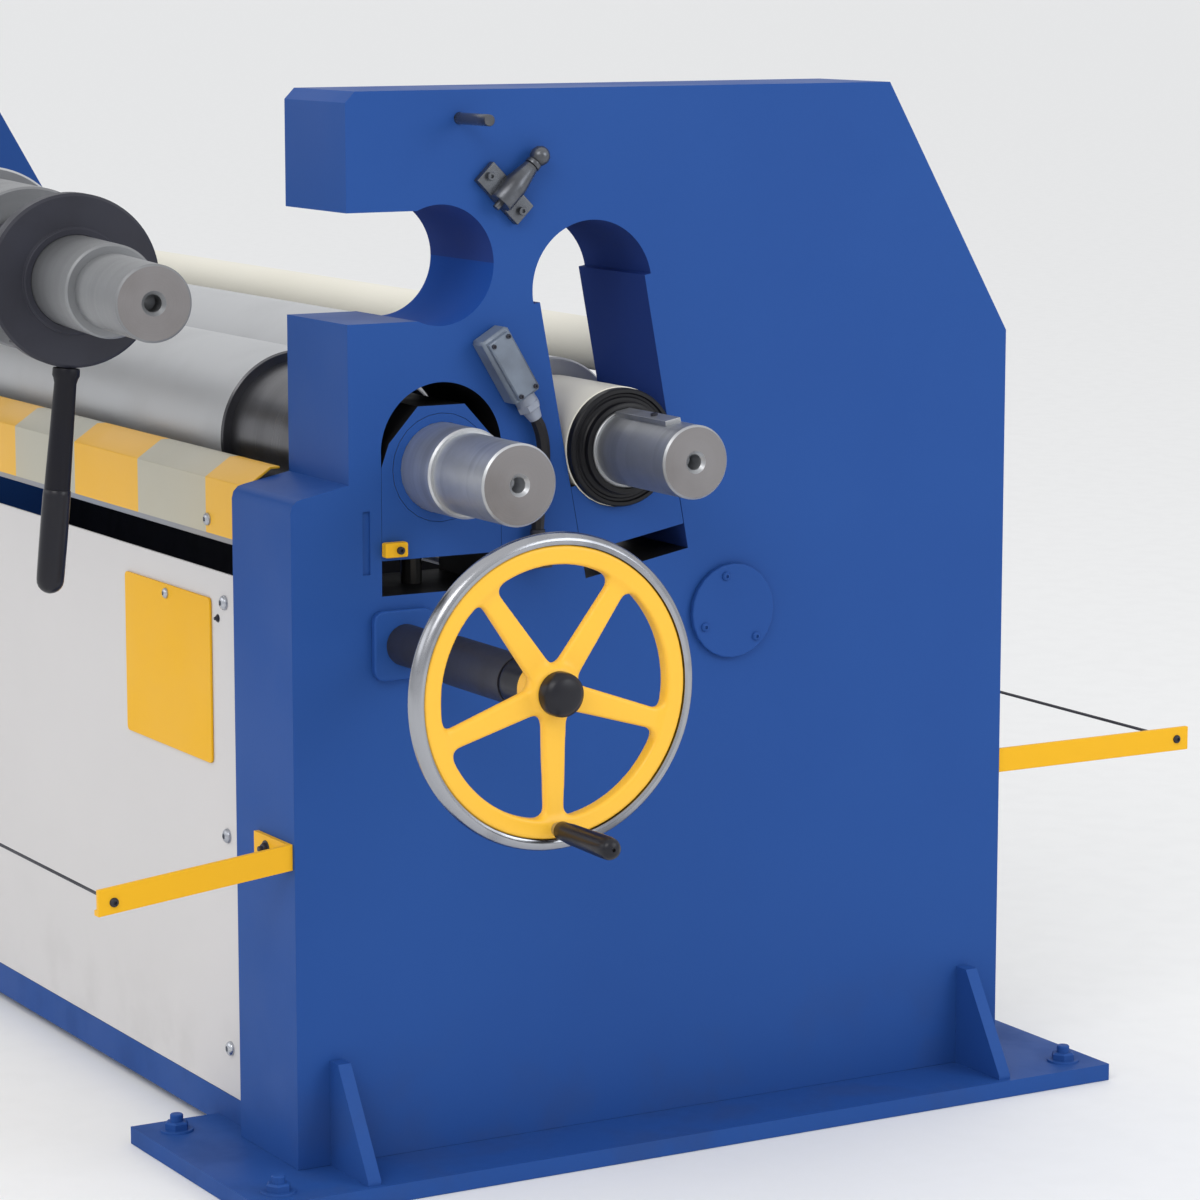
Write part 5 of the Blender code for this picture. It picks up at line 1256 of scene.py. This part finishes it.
@dataclass
class Rolls(Assembly):
    """The three rolls, turned as the real ones, with their journals, keys and centre holes."""

    radius: float = 0.1
    neck: float = 0.088
    half: float = 1.2
    neck_end: float = 1.405
    centre_hole: float = 0.0088
    countersink: float = 0.0125
    hole_depth: float = 0.028
    chamfer: float = 0.0022
    sides: int = 128
    bands: tuple = (-1.406, -1.1985, 1.1985, 1.406)
    face_band: float = 0.001
    key_start: float = 0.023
    keyway: tuple = ((-0.0006, -0.0105, 0.0335), (0.1106, 0.0105, 0.07))
    key_edge: float = 0.001
    key_screw: float = 0.004
    key_screw_x: float = 0.07
    key_screw_z: float = 0.0443

    def profile(self, steps: list[tuple[float, float]], end: float) -> Profile:
        """Gives a stepped shaft's profile from its high end down, with chamfers and a centre hole.

        Args:
            steps: Pairs of start and radius from the low end up.
            end: Where the last step ends.

        Returns:
            Pairs of radius and height.
        """
        sink = self.countersink - self.centre_hole
        points = [
            (self.centre_hole * 0.3, end - self.hole_depth - self.centre_hole * 0.5),
            (self.centre_hole, end - self.hole_depth),
            (self.centre_hole, end - sink),
            (self.countersink, end),
        ]
        radii = [0.0, *(radius for _, radius in steps), 0.0]
        tops = [*(start for start, _ in steps[1:]), end]
        for index in reversed(range(len(steps))):
            (start, radius), top = steps[index], tops[index]
            if radius > radii[index + 2]:
                points += [(radius - self.chamfer, top), (radius, top - self.chamfer)]
            else:
                points += [(radius, top)]
            if radius > radii[index]:
                points += [(radius, start + self.chamfer), (radius - self.chamfer, start)]
            else:
                points += [(radius, start)]
        return points

    def build(self) -> None:
        """Makes the three rolls."""
        reach = FACE_X - PIVOT.x
        self.roll("top_roll", Body.TOP_ROLL, [
            (-0.1163, 0.048), (0.1, 0.07), (0.16, self.neck), (0.285, self.radius),
            (2.685, self.neck), (2.89, 0.048), (reach + 0.175, 0.0386),
        ], reach + 0.33, SWUNG, [TOP_TURNED, TOP_GROUND, TOP_TURNED, TOP_FACED], (0.284, 2.684))
        # The front roll's end shoulders and necks carry painted shade.
        self.roll("front_roll", Body.FRONT_ROLL, [
            (-1.7547, 0.045), (-1.5747, 0.05), (-self.neck_end, self.neck),
            (-self.half, self.radius), (self.half, self.neck), (self.neck_end, 0.05),
            (FACE_X + 0.065, 0.045),
        ], FACE_X + 0.178, Matrix.Translation(FRONT_AXIS), [
            FRONT_TURNED, NECK_STEEL_IN_SHADE, FRONT_GROUND, NECK_STEEL_IN_SHADE, FRONT_TURNED, FRONT_FACED,
        ], self.bands)
        tilted = Matrix.Translation(REAR_AXIS) @ Matrix.Rotation(REAR_TILT, 4, "X")
        start = FACE_X + self.key_start
        low, high = (Vector((start, 0.0, 0.0)) + Vector(corner) for corner in self.keyway)
        self.roll("rear_roll", Body.REAR_ROLL, [
            (-FACE_X - 0.012, 0.045), (-self.neck_end, self.neck), (-self.half, self.radius),
            (self.half, self.neck), (self.neck_end, 0.045), (FACE_X + 0.022, 0.041),
        ], FACE_X + 0.168, tilted, [
            REAR_TURNED, REAR_GROUND, REAR_GROUND, REAR_GROUND, REAR_TURNED, REAR_FACED,
        ], self.bands, block("keyway", low, high, tilted))
        self.shop.refined("rear_roll_key", Body.REAR_ROLL, [REAR_TURNED], self.key_edge)
        spot = tilted @ facing((start + self.key_screw_x, 0.0, self.key_screw_z), (0, 0, 1))
        self.shop.screw(
            "key_screw", ScrewHead.SOCKET, self.key_screw, spot, BLACK_OXIDE, Body.REAR_ROLL
        )

    def roll(
        self, node: str, body: Body, steps: list, end: float, place: Matrix, finishes: list[Finish],
        bands: tuple, keyway: bpy.types.Object | None = None,
    ) -> None:
        """Turns one roll and paints its bands.

        Args:
            node: The CAD node that it stands for.
            body: What it moves with.
            steps: Pairs of start and radius from the low end up.
            end: Where the last step ends.
            place: From a frame whose X is the roll's axis to the machine's.
            finishes: Its finishes, one for each band and one for the end face.
            bands: Where each band but the last two ends.
            keyway: What is cut out of it.
        """
        piece = turned(node + DONE, self.profile(steps, end), self.sides)
        break_edges(piece, 0.0)
        limits = (*bands, end - self.face_band)
        paint(piece, finishes, lambda centre, normal: sum(centre.z > limit for limit in limits))
        settle(piece, place @ ALONG_X)
        if keyway:
            carve(piece, keyway)
        self.shop.finish(piece, body)


@dataclass
class Locking(Assembly):
    """The swing yoke and the locking disc with its lever."""

    disc_start: float = 3.048
    disc_radius: float = 0.0909
    disc_depth: float = 0.028
    ring_radius: float = 0.0556
    ring_height: float = 0.005
    bush_radius: float = 0.0595
    flat_half: float = 0.054
    bore: float = 0.0485
    lever_reach: float = 0.33
    lever_aside: float = 0.0012
    lever_lean: float = math.radians(5.7)
    corner: float = 0.0015
    rim_corner: float = 0.003
    bush_end: float = 2.895
    flat_end: float = 0.09
    flat_side: float = 0.1
    flat_start: float = 2.88
    flat_gap: float = 0.0003
    notch_turn: float = math.radians(45.0 - 90.0 + 175.0)
    notch_depth: float = 0.0065
    notch_wall: float = 0.007
    notch_sides: tuple = (-0.0055, 0.015)
    over: float = 0.02
    yoke_edge: float = 0.002
    nut_edge: float = 0.0015
    sides: int = 40

    def build(self) -> None:
        """Makes the disc and lever and dresses the yoke."""
        self.disc()
        self.lever()
        self.shop.refined("swing_yoke", Body.YOKE, [CAST_GREY], self.yoke_edge)
        self.shop.refined("yoke_bush", Body.YOKE, [BRONZE], 0.0)
        self.shop.refined("top_roll_nut", Body.TOP_ROLL, [LATCH_STEEL], self.nut_edge)

    def disc(self) -> None:
        """Turns the disc with its bush, then cuts the flats and the notch."""
        end = self.disc_start + self.disc_depth
        face = end + self.ring_height
        start, corner, edge = self.disc_start, self.corner, self.rim_corner
        profile = [
            (self.bore, face), (self.bore + 0.002, face), (self.ring_radius - corner, face),
            (self.ring_radius, face - corner), (self.ring_radius, end + 0.001),
            (self.ring_radius + 0.001, end), (self.disc_radius - edge, end),
            (self.disc_radius, end - edge), (self.disc_radius, start + edge),
            (self.disc_radius - edge, start), (self.bush_radius, start),
            (self.bush_radius, self.bush_end + corner), (self.bush_radius - corner, self.bush_end),
            (self.bore, self.bush_end),
        ]
        piece = turned("lock_disc_finished", profile, 128, ring=True)
        for side in (1, -1):
            low, high = sorted((side * self.flat_half, side * self.flat_end))
            near = (-self.flat_side, low, self.flat_start)
            carve(piece, block("flat", near, (self.flat_side, high, start - self.flat_gap)))
        back, front = self.notch_sides
        near = (start - self.over, back, self.disc_radius - self.notch_depth)
        far = (end - self.notch_wall, front, self.disc_radius + self.over)
        turn = ALONG_X.inverted() @ Matrix.Rotation(self.notch_turn + LEVER_LEAN, 4, "X")
        carve(piece, block("notch", near, far, turn))
        break_edges(piece, 0.0)
        paint(piece, [BLACK_OXIDE])
        settle(piece, SWUNG @ Matrix.Rotation(-LEVER_LEAN, 4, "X") @ ALONG_X)
        self.shop.finish(piece, Body.LOCK)

    def lever(self) -> None:
        """Makes the steel arm with its collar and the tapered black grip."""
        middle = self.disc_start + self.disc_depth / 2
        aside = Matrix.Translation((middle, self.lever_aside, 0))
        hang = SWUNG @ Matrix.Rotation(-self.lever_lean, 4, "X") @ aside
        rim = -self.disc_radius
        arm = [
            (0.0084, -0.0725), (0.0084, rim - 0.0003), (0.0138, rim - 0.001),
            (0.0144, rim - 0.0025), (0.0144, rim - 0.009), (0.013, rim - 0.012),
            (0.0117, rim - 0.017), (0.0138, -0.2197),
        ]
        self.shop.lathe(
            "lock_lever_finished", arm, hang, Body.LOCK, LEVER_BLACK, segments=self.sides
        )
        end = -self.lever_reach
        grip = [
            (0.0138, -0.22), (0.0144, -0.2208), (0.0147, -0.226), (0.0149, -0.25), (0.0149, -0.28),
            (0.0147, -0.305), (0.0145, end + 0.0145),
        ]
        for step in range(1, 6):
            angle = math.radians(16.5 * step)
            grip.append((0.0145 * math.cos(angle), end + 0.0145 - 0.0145 * math.sin(angle)))
        self.shop.lathe(
            "lever_grip_finished", grip, hang, Body.LOCK, BLACK_PLASTIC, segments=self.sides
        )


@dataclass
class Bearings(Assembly):
    """The sliding blocks, cartridges, seal and pointer."""

    pointer_screw_y: float = -0.3105
    pointer_screw_z: float = 0.7065
    shoulder: tuple = (0.022, 1.05, 0.008)
    clear_of_bore: float = 0.0605
    edge: float = 0.0012
    outer_ring: float = 0.001
    pointer_edge: float = 0.002
    pointer_face: float = 0.012
    pointer_screw: float = 0.0042
    housing: tuple = (0.0455, 0.0668, 0.068)
    seal_gap: float = 0.0003

    def build(self) -> None:
        """Dresses the bearings of the two lower rolls."""
        for end, side in ENDS:
            self.front_block(end)
            self.shop.refined(
                "front_bush_" + end, Body.FRONT_CARRIAGE, [BRONZE, BLUE], 0.0,
                lambda centre, normal: 1 if abs(centre.x) > FACE_X - self.outer_ring else 0,
            )
            # The rear block's sides in the slot are painted near-black as painted shade.
            self.shop.refined(
                "rear_block_" + end, Body.REAR_CARRIAGE, [BLUE, SLOT_SHADE_BLACK], self.edge, across_x
            )
            self.cartridge(end, side)
            for place in ("front", "rear"):
                # The lift screws carry painted shade.
                self.shop.dress("{}_lift_screw_{}".format(place, end), GREASED_STEEL_IN_SHADE)
                self.shop.dress("{}_worm_wheel_{}".format(place, end), BRONZE)
        self.shop.dress("rear_cross_shaft", BRIGHT_STEEL)
        self.seal()
        self.shop.refined("position_pointer", Body.FRONT_CARRIAGE, [YELLOW], self.pointer_edge)
        point = (FACE_X + self.pointer_face, self.pointer_screw_y, self.pointer_screw_z)
        spot = facing(point, TO_DROP_END)
        self.shop.screw(
            "pointer_screw", ScrewHead.SOCKET, self.pointer_screw, spot, BLACK_OXIDE,
            Body.FRONT_CARRIAGE,
        )

    def front_block(self, end: str) -> None:
        """Dresses a front bearing block, with shoulders that follow the arch of its slot.

        Args:
            end: Which end of the machine.
        """
        piece = self.shop.welded("front_block_" + end)
        height, width, lift = self.shoulder
        level = FRONT_AXIS.z + height
        with editing(piece):
            bpy.ops.mesh.bisect(plane_co=(0, 0, level), plane_no=(0, 0, 1))
            select_where(
                piece,
                lambda co: abs(co.z - level) < WELD
                and abs(co.y - FRONT_AXIS.y) > self.clear_of_bore,
            )
            bpy.ops.transform.resize(value=(1, width, 1), center_override=(0, FRONT_AXIS.y, level))
            bpy.ops.transform.translate(value=(0, 0, lift))
        break_edges(piece, self.edge)
        # The front block's sides in the slot are painted near-black as painted shade.
        paint(piece, [BLUE, SLOT_SHADE_BLACK], across_x)
        self.shop.finish(piece, Body.FRONT_CARRIAGE)

    def cartridge(self, end: str, side: int) -> None:
        """Turns one cream bearing housing.

        Args:
            end: Which end of the machine.
            side: 1 for the drop end and -1 for the drive end.
        """
        low, high = sorted((side * INNER_X, side * FACE_X))
        bore, rim, radius = self.housing
        profile = [
            (bore, high), (rim, high), (radius, high - self.edge), (radius, low), (bore, low),
        ]
        name = "rear_cartridge_" + end + DONE
        self.shop.lathe(name, profile, along_x(REAR_AXIS), Body.REAR_CARRIAGE, CREAM, ring=True)

    def seal(self) -> None:
        """Turns the black seal flange with its two steps and rounded lips."""
        profile = [
            (0.0455, 0.0217), (0.0495, 0.0217), (0.0515, 0.0205), (0.052, 0.0185), (0.052, 0.0135),
            (0.0535, 0.012), (0.0565, 0.0117), (0.058, 0.0095), (0.0605, 0.0095), (0.062, 0.0115),
            (0.0655, 0.0112), (0.067, 0.0095), (0.067, 0.0), (0.0455, 0.0),
        ]
        start = FACE_X + self.seal_gap
        profile = [(radius, start + height) for radius, height in profile]
        self.shop.lathe(
            "rear_seal_flange_finished", profile, along_x(REAR_AXIS), Body.REAR_CARRIAGE,
            SEAL_BLACK,
            ring=True,
        )


@dataclass
class Handwheel(Assembly):
    """The crank wheel with its sleeve, pad, spokes, bright rim, hub cap and grip."""

    plane: float = 0.34
    outer: float = 0.166
    inner: float = 0.1537
    ring_inner: float = 0.1328
    ring_depth: float = 0.0186
    boss_end: float = 0.313
    depth: float = 0.022
    grip_start: float = 0.3578
    grip_length: float = 0.108
    full_grip: float = 0.117
    bolt_tip: float = 2.02
    closing: float = 0.006
    skin: float = 0.0017
    bolt_edge: float = 0.0008
    pad_edge: float = 0.0025
    grip_drop: float = 0.1425
    rim_middle: float = 0.85
    rim_shoulder: float = 0.86
    rim_steps: int = 8
    loose: float = 0.0002
    rim_sides: int = 160
    small_sides: int = 64
    grip_sides: int = 40

    def build(self) -> None:
        """Makes the wheel and all on its shaft."""
        hub = along_x(Vector(WHEEL_AT))
        self.rim(hub)
        self.spider(hub)
        cap = [
            *dome(0.0205, 0.367, 0.3722, 4), (0.0225, 0.3655), (0.0232, 0.363), (0.0235, 0.36),
            (0.0235, 0.3525),
        ]
        self.shop.lathe(
            "hub_cap_finished", cap, hub, Body.ADJUSTER, BLACK_PLASTIC, segments=self.small_sides
        )
        self.shop.dress("front_cross_shaft", BRIGHT_STEEL)
        bolt = self.shop.welded("crank_bolt")
        with editing(bolt):
            select_where(bolt, lambda co: co.x > self.bolt_tip)
            bpy.ops.transform.translate(value=(self.grip_length - self.full_grip, 0, 0))
        break_edges(bolt, self.bolt_edge)
        paint(bolt, [BRIGHT_STEEL])
        self.shop.finish(bolt, Body.ADJUSTER)
        self.grip()
        sleeve = [
            (0.0125, 0.27), (0.0266, 0.27), (0.027, 0.2696), (0.027, 0.1265), (0.0262, 0.125),
            (0.0232, 0.1245), (0.0232, 0.0103), (0.0125, 0.0103),
        ]
        self.shop.lathe(
            "shaft_sleeve_finished", sleeve, hub, Body.MACHINE, BLACK_OXIDE, ring=True,
            segments=self.small_sides,
        )
        self.shop.refined("shaft_pad", Body.MACHINE, [BLUE], self.pad_edge, segments=3)

    def rim(self, hub: Matrix) -> None:
        """Turns the polished rim with a full round outer edge.

        Args:
            hub: The frame on the wheel's axis.
        """
        half = self.depth / 2
        middle = self.outer - half * self.rim_middle
        profile = [(self.inner, self.plane + half * self.rim_shoulder)]
        for step in range(-self.rim_steps, self.rim_steps + 1):
            angle = math.radians(step * 90 / self.rim_steps)
            reach = (self.outer - middle) * math.cos(angle)
            profile.append((middle + reach, self.plane - half * math.sin(angle)))
        profile.append((self.inner, self.plane - half * self.rim_shoulder))
        self.shop.lathe(
            "handwheel_rim_finished", profile, hub, Body.ADJUSTER, RIM_CHROME, ring=True,
            segments=self.rim_sides,
        )

    def spider(self, hub: Matrix) -> None:
        """Gives the cast hub, spokes and ring the soft fillets of a casting.

        The casting is swollen, given a new skin and shrunk again, which fills its inner corners.

        Args:
            hub: The frame on the wheel's axis.
        """
        piece = self.shop.welded("handwheel")
        low, high = self.plane - self.ring_depth / 2, self.plane + self.ring_depth / 2
        outer = self.inner - self.loose
        profile = [(self.ring_inner, high), (outer, high), (outer, low), (self.ring_inner, low)]
        ring = turned("casting_ring", profile, ring=True)
        settle(ring, hub)
        pick(ring)
        piece.select_set(True)
        bpy.context.view_layer.objects.active = piece
        bpy.ops.object.join()
        for step, iterations in ((self.closing, 8), (-self.closing, 14)):
            applied(piece, "REMESH", mode="VOXEL", voxel_size=self.skin)
            with editing(piece):
                bpy.ops.transform.shrink_fatten(value=step)
            applied(piece, "REMESH", mode="VOXEL", voxel_size=self.skin)
            applied(piece, "SMOOTH", factor=0.5, iterations=iterations)
        bpy.ops.object.shade_smooth()
        boss_end = FACE_X + self.boss_end
        paint(
            piece, [CAST_YELLOW, BLACK_PLASTIC],
            lambda centre, normal: 1 if centre.x < boss_end else 0,
        )
        self.shop.finish(piece, Body.ADJUSTER)

    def grip(self) -> None:
        """Turns the crank's grip: a short neck, a long plain barrel and a round end."""
        end = self.grip_length
        profile = [
            (0.0056, 0.0), (0.0092, 0.0), (0.0099, 0.0012), (0.0101, 0.012), (0.0109, 0.022),
            (0.0113, 0.05), (0.0119, 0.078), (0.012, 0.094), (0.0114, end - 0.007),
            (0.0096, end - 0.0028),
            (0.006, end - 0.0006), (0.002, end), (0.002, end - 0.004), (0.0056, end - 0.0046),
        ]
        profile = [(radius, self.grip_start + height) for radius, height in profile]
        place = along_x(Vector(WHEEL_AT) - Vector((0.0, 0.0, self.grip_drop)))
        self.shop.lathe(
            "crank_grip_finished", profile, place, Body.CRANK_GRIP, BLACK_PLASTIC, ring=True,
            segments=self.grip_sides,
        )


@dataclass
class FaceFittings(Assembly):
    """What sits on the drop end's face: latch, stop pin, switch with its cable, port cover."""

    latch_turn: float = math.radians(-45.0)
    plate: tuple = ((0.0003, -0.0355, 0.0938), (0.01, 0.0355, 0.1228))
    plate_edge: float = 0.0014
    plate_screw: float = 0.0048
    plate_screws: tuple = ((0.0275, 0.108), (-0.0275, 0.108))
    axis_height: float = 0.0145
    plunger_edge: float = 0.0006
    pin_edge: float = 0.001
    switch_y: float = -0.179
    switch_z: float = 0.9035
    switch_tilt: float = math.radians(31.0)
    switch_edge: float = 0.0008
    switch_screw: float = 0.0026
    lid_x: float = 0.034
    lid_y: tuple = (-0.0105, 0.0105)
    lid_z: tuple = (0.033, -0.033)
    gland_z: float = -0.043
    gland_edge: float = 0.0015
    cable_swell: float = 0.0032
    port_edge: float = 0.002
    port_face: float = 0.008
    port_screw: float = 0.0052
    port_screws: tuple = ((0.111, 0.645), (0.152, 0.572), (0.083, 0.588))

    def build(self) -> None:
        """Dresses the fittings and adds their screws."""
        self.latch()
        self.switch()
        self.shop.refined("port_cover", Body.MACHINE, [BLUE], self.port_edge, segments=3)
        face = Matrix.Translation((FACE_X, 0, 0))
        self.screws(
            "port_screw", ScrewHead.BUTTON, self.port_screw, face, self.port_face,
            self.port_screws, BLUE,
        )

    def screws(
        self, name: str, head: ScrewHead, radius: float, place: Matrix, height: float, spots: tuple,
        finish: Finish,
    ) -> None:
        """Puts a fitting's screws in.

        Args:
            name: The screws' name, which gets a number.
            head: The kind of head.
            radius: Their radius.
            place: The fitting's frame, whose X points out of the face.
            height: How far their heads sit from the frame's origin along X.
            spots: Pairs of Y and Z.
            finish: Their finish.
        """
        for index, (y, z) in enumerate(spots):
            spot = place @ facing((height, y, z), TO_DROP_END)
            self.shop.screw("{}_{}".format(name, index), head, radius, spot, finish)

    def latch(self) -> None:
        """Dresses the latch, its plunger and the stop pin."""
        self.shop.refined("latch_plunger", Body.PLUNGER, [LATCH_STEEL], self.plunger_edge)
        self.shop.refined("stop_pin", Body.MACHINE, [LATCH_STEEL], self.pin_edge)
        turn = Matrix.Rotation(self.latch_turn, 4, "X")
        along = Matrix.Translation((FACE_X, SEAT.y, SEAT.z)) @ turn
        plate = block("latch_plate", *self.plate, along, self.plate_edge)
        paint(plate, [LATCH_STEEL])
        self.shop.finish(plate, Body.MACHINE, "latch_bracket")
        barrel = [
            (0.0042, 0.1498), (0.0078, 0.1498), (0.0085, 0.149), (0.0135, 0.1225), (0.0138, 0.12),
            (0.0138, 0.0962), (0.0126, 0.0942), (0.0042, 0.0942),
        ]
        collar = [
            (0.0042, 0.1555), (0.0088, 0.1555), (0.0092, 0.1515), (0.0088, 0.1505),
            (0.0042, 0.1505),
        ]
        place = along @ Matrix.Translation((self.axis_height, 0, 0))
        for name, profile, sides in (("latch_barrel", barrel, 48), ("latch_collar", collar, 32)):
            self.shop.lathe(
                name, profile, place, Body.MACHINE, LATCH_STEEL, ring=True, segments=sides
            )
        height = self.plate[1][0]
        self.screws(
            "latch_screw", ScrewHead.SOCKET, self.plate_screw, along, height, self.plate_screws,
            LATCH_STEEL,
        )

    def switch(self) -> None:
        """Dresses the limit switch with its lid screws, gland nut and cable."""
        place = Matrix.Translation((FACE_X, self.switch_y, self.switch_z))
        place = place @ Matrix.Rotation(self.switch_tilt, 4, "X")
        inverse = place.inverted()
        self.shop.refined(
            "limit_switch", Body.MACHINE, [SWITCH_GREY, GLAND_GREY], self.switch_edge,
            lambda centre, normal: 1 if (inverse @ centre).z < self.gland_z else 0,
        )
        lid = tuple((y, z) for z, y in product(self.lid_z, self.lid_y))
        self.screws(
            "switch_screw", ScrewHead.SOCKET, self.switch_screw, place, self.lid_x, lid, BLACK_OXIDE
        )
        nut = [(0.0118, -0.0492), (0.0138, -0.0505), (0.0138, -0.0575), (0.0118, -0.0588)]
        nut_place = place @ Matrix.Translation((self.axis_height, 0, 0))
        self.shop.lathe("switch_gland_nut", nut, nut_place, Body.MACHINE, GLAND_GREY, segments=6)
        cable = self.shop.refined("switch_cable", Body.MACHINE, [CABLE_BLACK], 0.0)
        with editing(cable):
            bpy.ops.transform.shrink_fatten(value=self.cable_swell)
        self.shop.refined("frame_gland", Body.MACHINE, [BLACK_OXIDE], self.gland_edge)


@dataclass
class Drives(Assembly):
    """The gearmotor on the front roll and the one on the rear cross shaft."""

    bolts: int = 6
    roll_edge: float = 0.0025
    lift_edge: float = 0.0018
    roll_flange: Place = (-1.735, FRONT_AXIS.y, FRONT_AXIS.z)
    lift_flange: Place = (-1.5743, 0.0637, 0.5932)
    roll_circle: float = 0.09
    lift_circle: float = 0.0615
    roll_bolt: float = 0.007
    lift_bolt: float = 0.005

    def build(self) -> None:
        """Dresses both drives and puts their flange bolts in."""
        self.shop.refined("drive_gearmotor", Body.FRONT_CARRIAGE, [CAST_GREY], self.roll_edge)
        self.shop.refined("lift_gearmotor", Body.MACHINE, [CAST_GREY], self.lift_edge)
        flanges = (
            ("gear_bolt", self.roll_flange, self.roll_circle, self.roll_bolt, Body.FRONT_CARRIAGE),
            ("lift_bolt", self.lift_flange, self.lift_circle, self.lift_bolt, Body.MACHINE),
        )
        for index, (name, middle, circle, radius, body) in product(range(self.bolts), flanges):
            angle = 2 * math.pi * (index + 0.5) / self.bolts
            around = Vector((0.0, math.cos(angle), math.sin(angle))) * circle
            spot = facing(Vector(middle) + around, TO_DRIVE_END)
            name = "{}_{}".format(name, index)
            self.shop.screw(name, ScrewHead.SOCKET, radius, spot, BLACK_OXIDE, body)


@dataclass
class TripLine(Assembly):
    """The four yellow arms with their root bolts and the two wires."""

    edge: float = 0.001
    foot_depth: float = 0.006
    foot_inset: float = 0.06
    foot_z: tuple = (0.374, 0.387)
    tip_inset: float = 0.018
    tip_z: tuple = (0.349, 0.387)
    tip_face: float = 0.004
    bolt: float = 0.0062
    eye: float = 0.0052

    def build(self) -> None:
        """Dresses the arms and wires and adds their bolts and eyes."""
        rows = (("front", TO_FRONT), ("rear", TO_BACK))
        for (place, outward), foot_z, tip_z in zip(rows, self.foot_z, self.tip_z):
            direction = outward[1]
            for end, side in ENDS:
                name = "trip_arm_{}_{}".format(place, end)
                self.shop.refined(name, Body.MACHINE, [YELLOW], self.edge)
                foot, tip = (corner.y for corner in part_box(name))
                if direction < 0:
                    foot, tip = tip, foot
                foot += direction * self.foot_depth
                spot = facing((side * (FACE_X - self.foot_inset), foot, foot_z), outward)
                self.shop.screw(name + "_bolt", ScrewHead.HEXAGON, self.bolt, spot, BLACK_OXIDE)
                tip -= direction * self.tip_inset
                spot = facing((side * (FACE_X - self.tip_face), tip, tip_z), (side, 0, 0))
                self.shop.screw(name + "_eye", ScrewHead.BUTTON, self.eye, spot, BLACK_OXIDE)
            self.shop.refined("trip_wire_" + place, Body.MACHINE, [BLACK_OXIDE], 0.0)


@dataclass
class Studio:
    """The pale floor, the soft lights and the camera at the photograph's angle."""

    eye: tuple = (5.42876, -2.285, 1.34398)
    look: tuple = (-0.85515, 0.49372, -0.15799)
    lens: float = 120.0
    sensor: float = 36.0
    far: float = 1000.0
    floor_size: float = 500.0
    floor_z: float = -0.0005
    air: float = 0.97
    low_air: Colour = (0.74, 0.75, 0.77)
    white: Colour = (1.0, 1.0, 1.0)
    warm: Colour = (1.0, 0.985, 0.96)
    cool: Colour = (0.95, 0.975, 1.0)

    def area(
        self, name: str, spot: Place, target: Place, size: tuple, watts: float, tint: Colour
    ) -> None:
        """Adds one large soft light.

        Args:
            name: The light's name.
            spot: Where it stands.
            target: Where it points.
            size: Its width and height.
            watts: Its power.
            tint: Its colour.
        """
        light = bpy.data.lights.new(name, "AREA")
        light.shape = "RECTANGLE"
        light.size, light.size_y = size
        light.energy = watts
        light.color = tint
        lamp = bpy.data.objects.new(name, light)
        lamp.location = spot
        lamp.rotation_euler = (Vector(target) - Vector(spot)).to_track_quat("-Z", "Y").to_euler()
        bpy.context.scene.collection.objects.link(lamp)

    def build(self) -> None:
        """Makes the floor, the lights, the world and the camera."""
        scene = bpy.context.scene
        clear_selection()
        bpy.ops.mesh.primitive_plane_add(size=self.floor_size, location=(0, 0, self.floor_z))
        floor = bpy.context.object
        floor.name = "studio_floor"
        paint(floor, [FLOOR])
        self.area("Key light", (4.5, -3.5, 4.2), (1.2, 0, 0.7), (3.0, 2.4), 84.0, self.warm)
        self.area("Side light", (5.5, 2.5, 2.6), (1.5, 0, 0.7), (2.4, 2.4), 54.0, self.cool)
        self.area("Front light", (-1.0, -5.0, 3.0), (0, 0, 0.6), (5.0, 2.0), 36.0, self.white)
        world = bpy.data.worlds.new("Studio air")
        scene.world = world
        world.use_nodes = True
        graph = Graph(world.node_tree)
        back = world.node_tree.nodes["Background"]
        sky = graph.split(graph.add("ShaderNodeTexCoord").outputs["Generated"])
        rise = graph.span(sky["Z"], -0.05, 0.9, 0.0, 1.0)
        graph.wire(graph.mix(rise, self.low_air, self.white), back.inputs["Color"])
        back.inputs["Strength"].default_value = self.air
        camera = bpy.data.cameras.new("Camera")
        camera.lens = self.lens
        camera.sensor_width = self.sensor
        camera.clip_end = self.far
        eye = bpy.data.objects.new("Camera", camera)
        eye.location = self.eye
        eye.rotation_euler = Vector(self.look).to_track_quat("-Z", "Y").to_euler()
        scene.collection.objects.link(eye)
        scene.camera = eye
        scene.view_settings.view_transform = "Standard"
        scene.view_settings.look = "None"


def main() -> None:
    """Builds the machine's dressed pieces in order, then the studio."""
    logging.basicConfig(level=logging.INFO, format="%(name)s: %(message)s")
    for start in list(bpy.data.objects):
        bpy.data.objects.remove(start, do_unlink=True)
    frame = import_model()
    shop = Workshop(frame)
    assemblies = (
        EndFrames, Covers, Rolls, Locking, Bearings, Handwheel, FaceFittings, Drives, TripLine,
    )
    for assembly in assemblies:
        assembly(shop).build()
        LOG.info("%s is done", assembly.__name__)
    shop.tidy()
    Studio().build()
    clear_selection()


if __name__ == "__main__":
    main()
